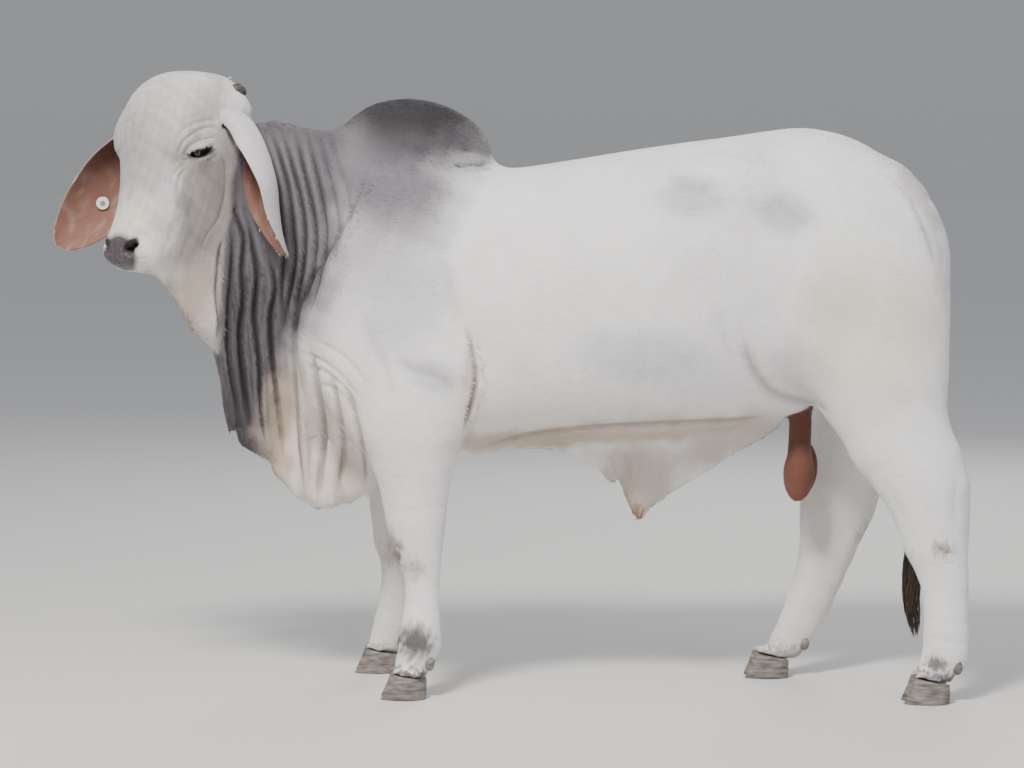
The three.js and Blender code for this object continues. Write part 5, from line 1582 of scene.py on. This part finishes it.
def switch_locks(count=240, rings=15, around=5):
    places, faces = [], []
    for _ in range(count):
        bearing, reach = chance.uniform(0, 2 * np.pi), chance.uniform(0.25, 1) ** 0.6
        start, end = chance.uniform(0, 0.22), chance.uniform(0.62, 1.0)
        at = np.linspace(start, end, rings)
        middle = smooth_path(SWITCH_LINE, 81)[np.round(at * 80).astype(int)]
        spread = follow(SWITCH_SPREAD, at) / 1000 * reach
        wave = bearing + 0.5 * np.sin(at * chance.uniform(8, 15) + chance.uniform(0, 6))
        middle = middle + np.stack([np.cos(wave) * spread, np.sin(wave) * spread * 0.9, np.zeros(rings)], 1)
        middle += chance.normal(0, 0.0012, (rings, 3)) * (at - start)[:, None]
        thick = chance.uniform(0.0016, 0.0034) * np.sin(np.linspace(0.35, np.pi, rings)) ** 0.7
        thick[-1] = 0.0002
        angle = np.arange(around) / around * 2 * np.pi
        ring = np.stack([np.cos(angle), np.sin(angle), np.zeros(around)], 1)
        offset = len(places) * rings * around
        places.append((middle[:, None] + ring[None] * thick[:, None, None]).reshape(-1, 3))
        faces += [list(face) for face in tube_faces(rings, around, offset)]
        faces += [list(range(offset + around - 1, offset - 1, -1))]
        faces += [list(range(offset + (rings - 1) * around, offset + rings * around))]
    return mesh_of("tail_switch_locks", np.concatenate(places), faces)


switch = switch_locks()
choose(switch)
bpy.ops.object.mode_set(mode="EDIT")
bpy.ops.mesh.select_all(action="SELECT")
bpy.ops.mesh.normals_make_consistent(inside=False)
bpy.ops.object.mode_set(mode="OBJECT")
switch.data.materials.append(SWITCH_HAIR)
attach(switch, "root")
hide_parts("tail_switch")
print("Tail switch:", faces_of(switch), "triangles")

# %% [markdown]
# ## The coat
# The hair is short and lies flat, so most of it is the grain in the material. Tufts of mesh lie
# over the skin where the form breaks it: thin blades, closed on all sides, rooted just under the
# skin and lying back along it. They are smallest on the face and feet. Each takes its place on an
# unwrap of the skin as a small patch.

# %% An unwrap of the skin to place the tufts on
choose(skin)
skin.data.uv_layers.new(name="OFBake")
bpy.ops.object.mode_set(mode="EDIT")
bpy.ops.mesh.select_all(action="SELECT")
bpy.ops.uv.smart_project(angle_limit=1.15, island_margin=0.001)
bpy.ops.object.mode_set(mode="OBJECT")
skin.data.calc_loop_triangles()
triangles = np.empty(len(skin.data.loop_triangles) * 3, int)
skin.data.loop_triangles.foreach_get("vertices", triangles)
triangles = triangles.reshape(-1, 3)
corners = np.empty(len(triangles) * 3, int)
skin.data.loop_triangles.foreach_get("loops", corners)
unwrap = np.empty(len(skin.data.loops) * 2)
skin.data.uv_layers["OFBake"].data.foreach_get("uv", unwrap)
unwrap = unwrap.reshape(-1, 2)[corners.reshape(-1, 3)]
print("Unwrap spans", unwrap.min().round(3), "to", unwrap.max().round(3))

# %% [markdown]
# The lie of the coat runs back and down from the shoulders, down the legs, down the neck and the
# dewlap, away from the whorl on the forehead, down the face to the nose, and along each ear.

# %% Which way the hair lies, and how long it is
def lie_of_coat(places, ways, traits):
    own = in_head(in_millimetres(places))
    on_head = near_side(places)[1]
    x, _, z = places.T
    lie = np.stack([np.full(len(x), 1.0), 0 * x, np.full(len(x), -0.42)], 1)
    neck = soft_step(-0.30, -0.62, x)[:, None]
    lie = lie * (1 - neck) + np.array((0.35, 0, -1.0)) * neck
    low = soft_step(0.80, 0.60, z)[:, None]
    lie = lie * (1 - low) + np.array((0.10, 0, -1.0)) * low
    rump = (soft_step(0.90, 1.08, x) * (z > 0.6))[:, None]
    lie = lie * (1 - rump) + np.array((0.3, 0, -1.0)) * rump
    face = np.stack([own[:, 0] - 95, own[:, 1] * 1.2, np.zeros(len(own))], 1)
    face = face / np.maximum(np.linalg.norm(face, axis=1, keepdims=True), 20)
    face[:, 0] += 0.5 * soft_step(60, 220, own[:, 0])
    lie = np.where(on_head[:, None], face @ HEAD_AXES, lie)
    ear = traits[:, 4][:, None]
    lie = lie * (1 - ear) + np.where(own[:, 1:2] > 0, (0.12, -0.05, -1.0), (-0.75, 0, -0.85)) * ear
    flat = lie - (lie * ways).sum(1, keepdims=True) * ways
    return unit(flat + 1e-9)


def length_of_coat(places, traits):
    own = in_head(in_millimetres(places))
    on_head = near_side(places)[1]
    x, y, z = places.T
    length = np.full(len(places), 0.017)
    length = np.where(on_head, 0.0095, length)
    length += 0.005 * soft_step(1.50, 1.56, z) * ~on_head
    length += 0.007 * on_head * soft_step(20, -40, own[:, 0])
    length -= 0.002 * traits[:, 4]
    length -= 0.006 * soft_step(0.35, 0.15, z)
    by_sheath = soft_step(0.04, 0.0, np.abs(x - 0.355) - 0.05) * (np.abs(y) < 0.1)
    length += 0.010 * soft_step(0.62, 0.52, z) * by_sheath
    return length


# %% [markdown]
# Each tuft is a blade of ten triangles: three points at its root, three where it is widest, and
# one tip. Roots are scattered over the skin by area, closer together on the head and the legs,
# and left out of the nose, the lids, the hollow of the ear, the soles and most of the scrotum.
# Their faces are flat-shaded, as smooth ones show a dark edge on each tuft.

# %% Scatter the tufts and build them in pieces
TUFTS = 96000
TUFTS_IN_PIECE = 16000
ON_THE_BAG = 0.05
SWING = 0.16
WIDTHS = (0.13, 0.22)
LIFTS = (0.004, 0.022)
RIDGE = 0.13
UNDER_SKIN = 0.0012
UNWRAP_PATCH = 0.0015
corner = [points_of(skin)[triangles[:, k]] for k in range(3)]
area = np.linalg.norm(np.cross(corner[1] - corner[0], corner[2] - corner[0]), axis=1) / 2
centres = sum(corner) / 3
traits_here = skin_traits[triangles].mean(1)
_, slit_here, hole_here, pad_here, ear_here, hollow_here = traits_here.T
wanted = 1 + 0.9 * near_side(centres)[1] + 0.5 * soft_step(0.5, 0.2, centres[:, 2])
haired = soft_step(0.3, 0.02, slit_here + hole_here + pad_here)
haired = haired * (hollow_here < 0.02) * (1 - hollow_here) * (1 - 0.5 * ear_here)
bag_here = (np.abs(centres[:, 0] - BAG_AT) < 0.075) & (np.abs(centres[:, 1]) < 0.092)
bag_here = bag_here & (centres[:, 2] > 0.45) & (centres[:, 2] < 0.69)
along, across, outward = by_eye(in_head(in_millimetres(centres)))
by_lids = (np.hypot(along / 44, across / 12) < 1) & (outward > -30)
sole = centres[:, 2] < 0.075
wanted = area * wanted * haired * np.where(bag_here, ON_THE_BAG, 1) * ~by_lids * ~sole
roots = chance.choice(len(area), TUFTS, p=wanted / wanted.sum())
share = chance.dirichlet((1, 1, 1), TUFTS)
root_at = sum(corner[k][roots] * share[:, k:k + 1] for k in range(3))
skin_ways = facing_of(skin)
root_way = unit(sum(skin_ways[triangles[roots, k]] * share[:, k:k + 1] for k in range(3)))
root_traits = sum(skin_traits[triangles[roots, k]] * share[:, k:k + 1] for k in range(3))
root_unwrap = sum(unwrap[roots, k] * share[:, k:k + 1] for k in range(3))
root_colour = sum(skin_colour[triangles[roots, k]] * share[:, k:k + 1] for k in range(3))
lie = lie_of_coat(root_at, root_way, root_traits)
across = np.cross(root_way, lie)
swing = chance.normal(0, SWING, TUFTS)[:, None]
lie = lie * np.cos(swing) + across * np.sin(swing)
across = np.cross(root_way, lie)
length = (length_of_coat(root_at, root_traits) * chance.uniform(0.7, 1.25, TUFTS))[:, None]
width = length * chance.uniform(*WIDTHS, (TUFTS, 1))
lift = chance.uniform(*LIFTS, (TUFTS, 1)) * length


def tuft_points():
    root = root_at - root_way * UNDER_SKIN
    middle = root_at + lie * length * 0.5 + root_way * (lift + 0.0001)
    tip = root_at + lie * length + root_way * (lift * 0.6 - length ** 2 * 1.2)
    blades = []
    for centre, half in ((root, 0.34), (middle, 0.5)):
        blades += [centre - across * width * half, centre + across * width * half]
        blades += [centre + root_way * width * half * RIDGE]
    return np.stack(blades + [tip], 1)


BLADE = np.array([(4, 3, 0), (1, 4, 0), (5, 4, 1), (2, 5, 1), (3, 5, 2),
                  (0, 3, 2), (4, 6, 3), (5, 6, 4), (3, 6, 5), (2, 1, 0)])
PATCH = np.array([(-1, -1), (1, -1), (0, -1), (-1, 0), (1, 0), (0, 0), (0, 1)]) * UNWRAP_PATCH


def coat_piece(title, chosen, blades, colours):
    count = len(chosen)
    mesh = bpy.data.meshes.new(title)
    faces = (BLADE[None] + np.arange(count)[:, None, None] * 7).reshape(-1, 3)
    mesh.vertices.add(count * 7)
    mesh.vertices.foreach_set("co", blades[chosen].ravel())
    mesh.loops.add(faces.size)
    mesh.loops.foreach_set("vertex_index", faces.ravel())
    mesh.polygons.add(len(faces))
    mesh.polygons.foreach_set("loop_start", np.arange(len(faces)) * 3)
    mesh.update(calc_edges=True)
    mesh.polygons.foreach_set("use_smooth", [False] * len(faces))
    piece = bpy.data.objects.new(title, mesh)
    bpy.context.collection.objects.link(piece)
    layer = mesh.uv_layers.new(name="OFBake")
    spots = (root_unwrap[chosen][:, None] + PATCH[None]).reshape(-1, 2)
    layer.data.foreach_set("uv", np.clip(spots[faces.ravel()], 0.001, 0.999).ravel())
    give_colour(piece, np.repeat(colours[chosen], 7, axis=0))
    mesh.attributes.new("bare", "FLOAT", "POINT")
    mesh.materials.append(COAT)
    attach(piece, "root")


blades = tuft_points()
# Each tuft takes the colour of the hide under it, a little lighter on average as painted light, with a small
# random spread of tone.
hair_colour = root_colour * chance.normal(1.015, 0.03, (TUFTS, 1))
order = np.argsort(root_at[:, 0])
for i, chosen in enumerate(np.array_split(order, TUFTS // TUFTS_IN_PIECE)):
    coat_piece(f"coat_{i + 1}", chosen, blades, np.clip(hair_colour, 0, 1))
print("Tufts:", TUFTS, "triangles:", TUFTS * len(BLADE))

# %% [markdown]
# ## Floor, light and camera
# A plain pale floor meets a pale surround. A large soft lamp stands high on the left, as the sun
# does in the photograph, a weaker one fills in from the right, and a third lights the back from
# behind. The camera stands where the photographer did, with the same long lens. The surround is as
# dark at the horizon as the floor is there, so that the two meet without a line, and lighter
# overhead.

# %% Floor, lamps and camera
FLOOR_SIZE = 400
OVERHEAD, HORIZON = (0.86, 0.90, 1.0, 1), (0.50, 0.51, 0.53, 1)
bpy.ops.object.select_all(action="DESELECT")
bpy.ops.mesh.primitive_plane_add(size=FLOOR_SIZE, location=(0, 0, 0))
floor = bpy.context.object
floor.name = "floor"
floor_paint, nodes, links, surface = new_material("Floor")
surface.inputs["Base Color"].default_value = (0.66, 0.65, 0.63, 1)
surface.inputs["Roughness"].default_value = 0.9
floor.data.materials.append(floor_paint)

world = bpy.context.scene.world or bpy.data.worlds.new("World")
bpy.context.scene.world = world
world.use_nodes = True
sky = world.node_tree.nodes["Background"]
sky.inputs["Strength"].default_value = 0.62
looking = world.node_tree.nodes.new("ShaderNodeNewGeometry")
parts = world.node_tree.nodes.new("ShaderNodeSeparateXYZ")
fade_up = world.node_tree.nodes.new("ShaderNodeValToRGB")
for stop, place, tint in zip(fade_up.color_ramp.elements, (0.0, 0.98), (OVERHEAD, HORIZON)):
    stop.position = place
    stop.color = tint
add_one = world.node_tree.nodes.new("ShaderNodeMath")
add_one.inputs[1].default_value = 1.0
world.node_tree.links.new(looking.outputs["Incoming"], parts.inputs["Vector"])
world.node_tree.links.new(parts.outputs["Z"], add_one.inputs[0])
world.node_tree.links.new(add_one.outputs["Value"], fade_up.inputs["Fac"])
world.node_tree.links.new(fade_up.outputs["Color"], sky.inputs["Color"])


def lamp(name, place, aim, size, power, tint):
    light = bpy.data.lights.new(name, "AREA")
    light.shape = "DISK"
    light.size = size
    light.energy = power
    light.color = tint
    holder = bpy.data.objects.new(name, light)
    bpy.context.collection.objects.link(holder)
    holder.location = place
    holder.rotation_euler = (Vector(aim) - Vector(place)).to_track_quat("-Z", "Y").to_euler()
    return holder


lamp("key", (-1.8, -4.6, 6.2), (0, 0, 0.9), size=1.7, power=740, tint=(1.0, 0.965, 0.91))
lamp("fill", (5.5, -5.5, 2.6), (0.2, 0, 0.9), size=4.0, power=120, tint=(0.93, 0.96, 1.0))
lamp("rim", (2.0, 5.5, 4.2), (0, 0, 1.0), size=3.0, power=170, tint=(1.0, 0.98, 0.95))

SENSOR = 36
camera = bpy.data.objects.new("camera", bpy.data.cameras.new("camera"))
bpy.context.collection.objects.link(camera)
camera.location = EYE_POINT
camera.rotation_euler = (math.radians(90) - TILT, 0, 0)
camera.data.sensor_width = SENSOR
camera.data.lens = LENS_PIXELS / PHOTO_WIDTH * SENSOR
bpy.context.scene.camera = camera
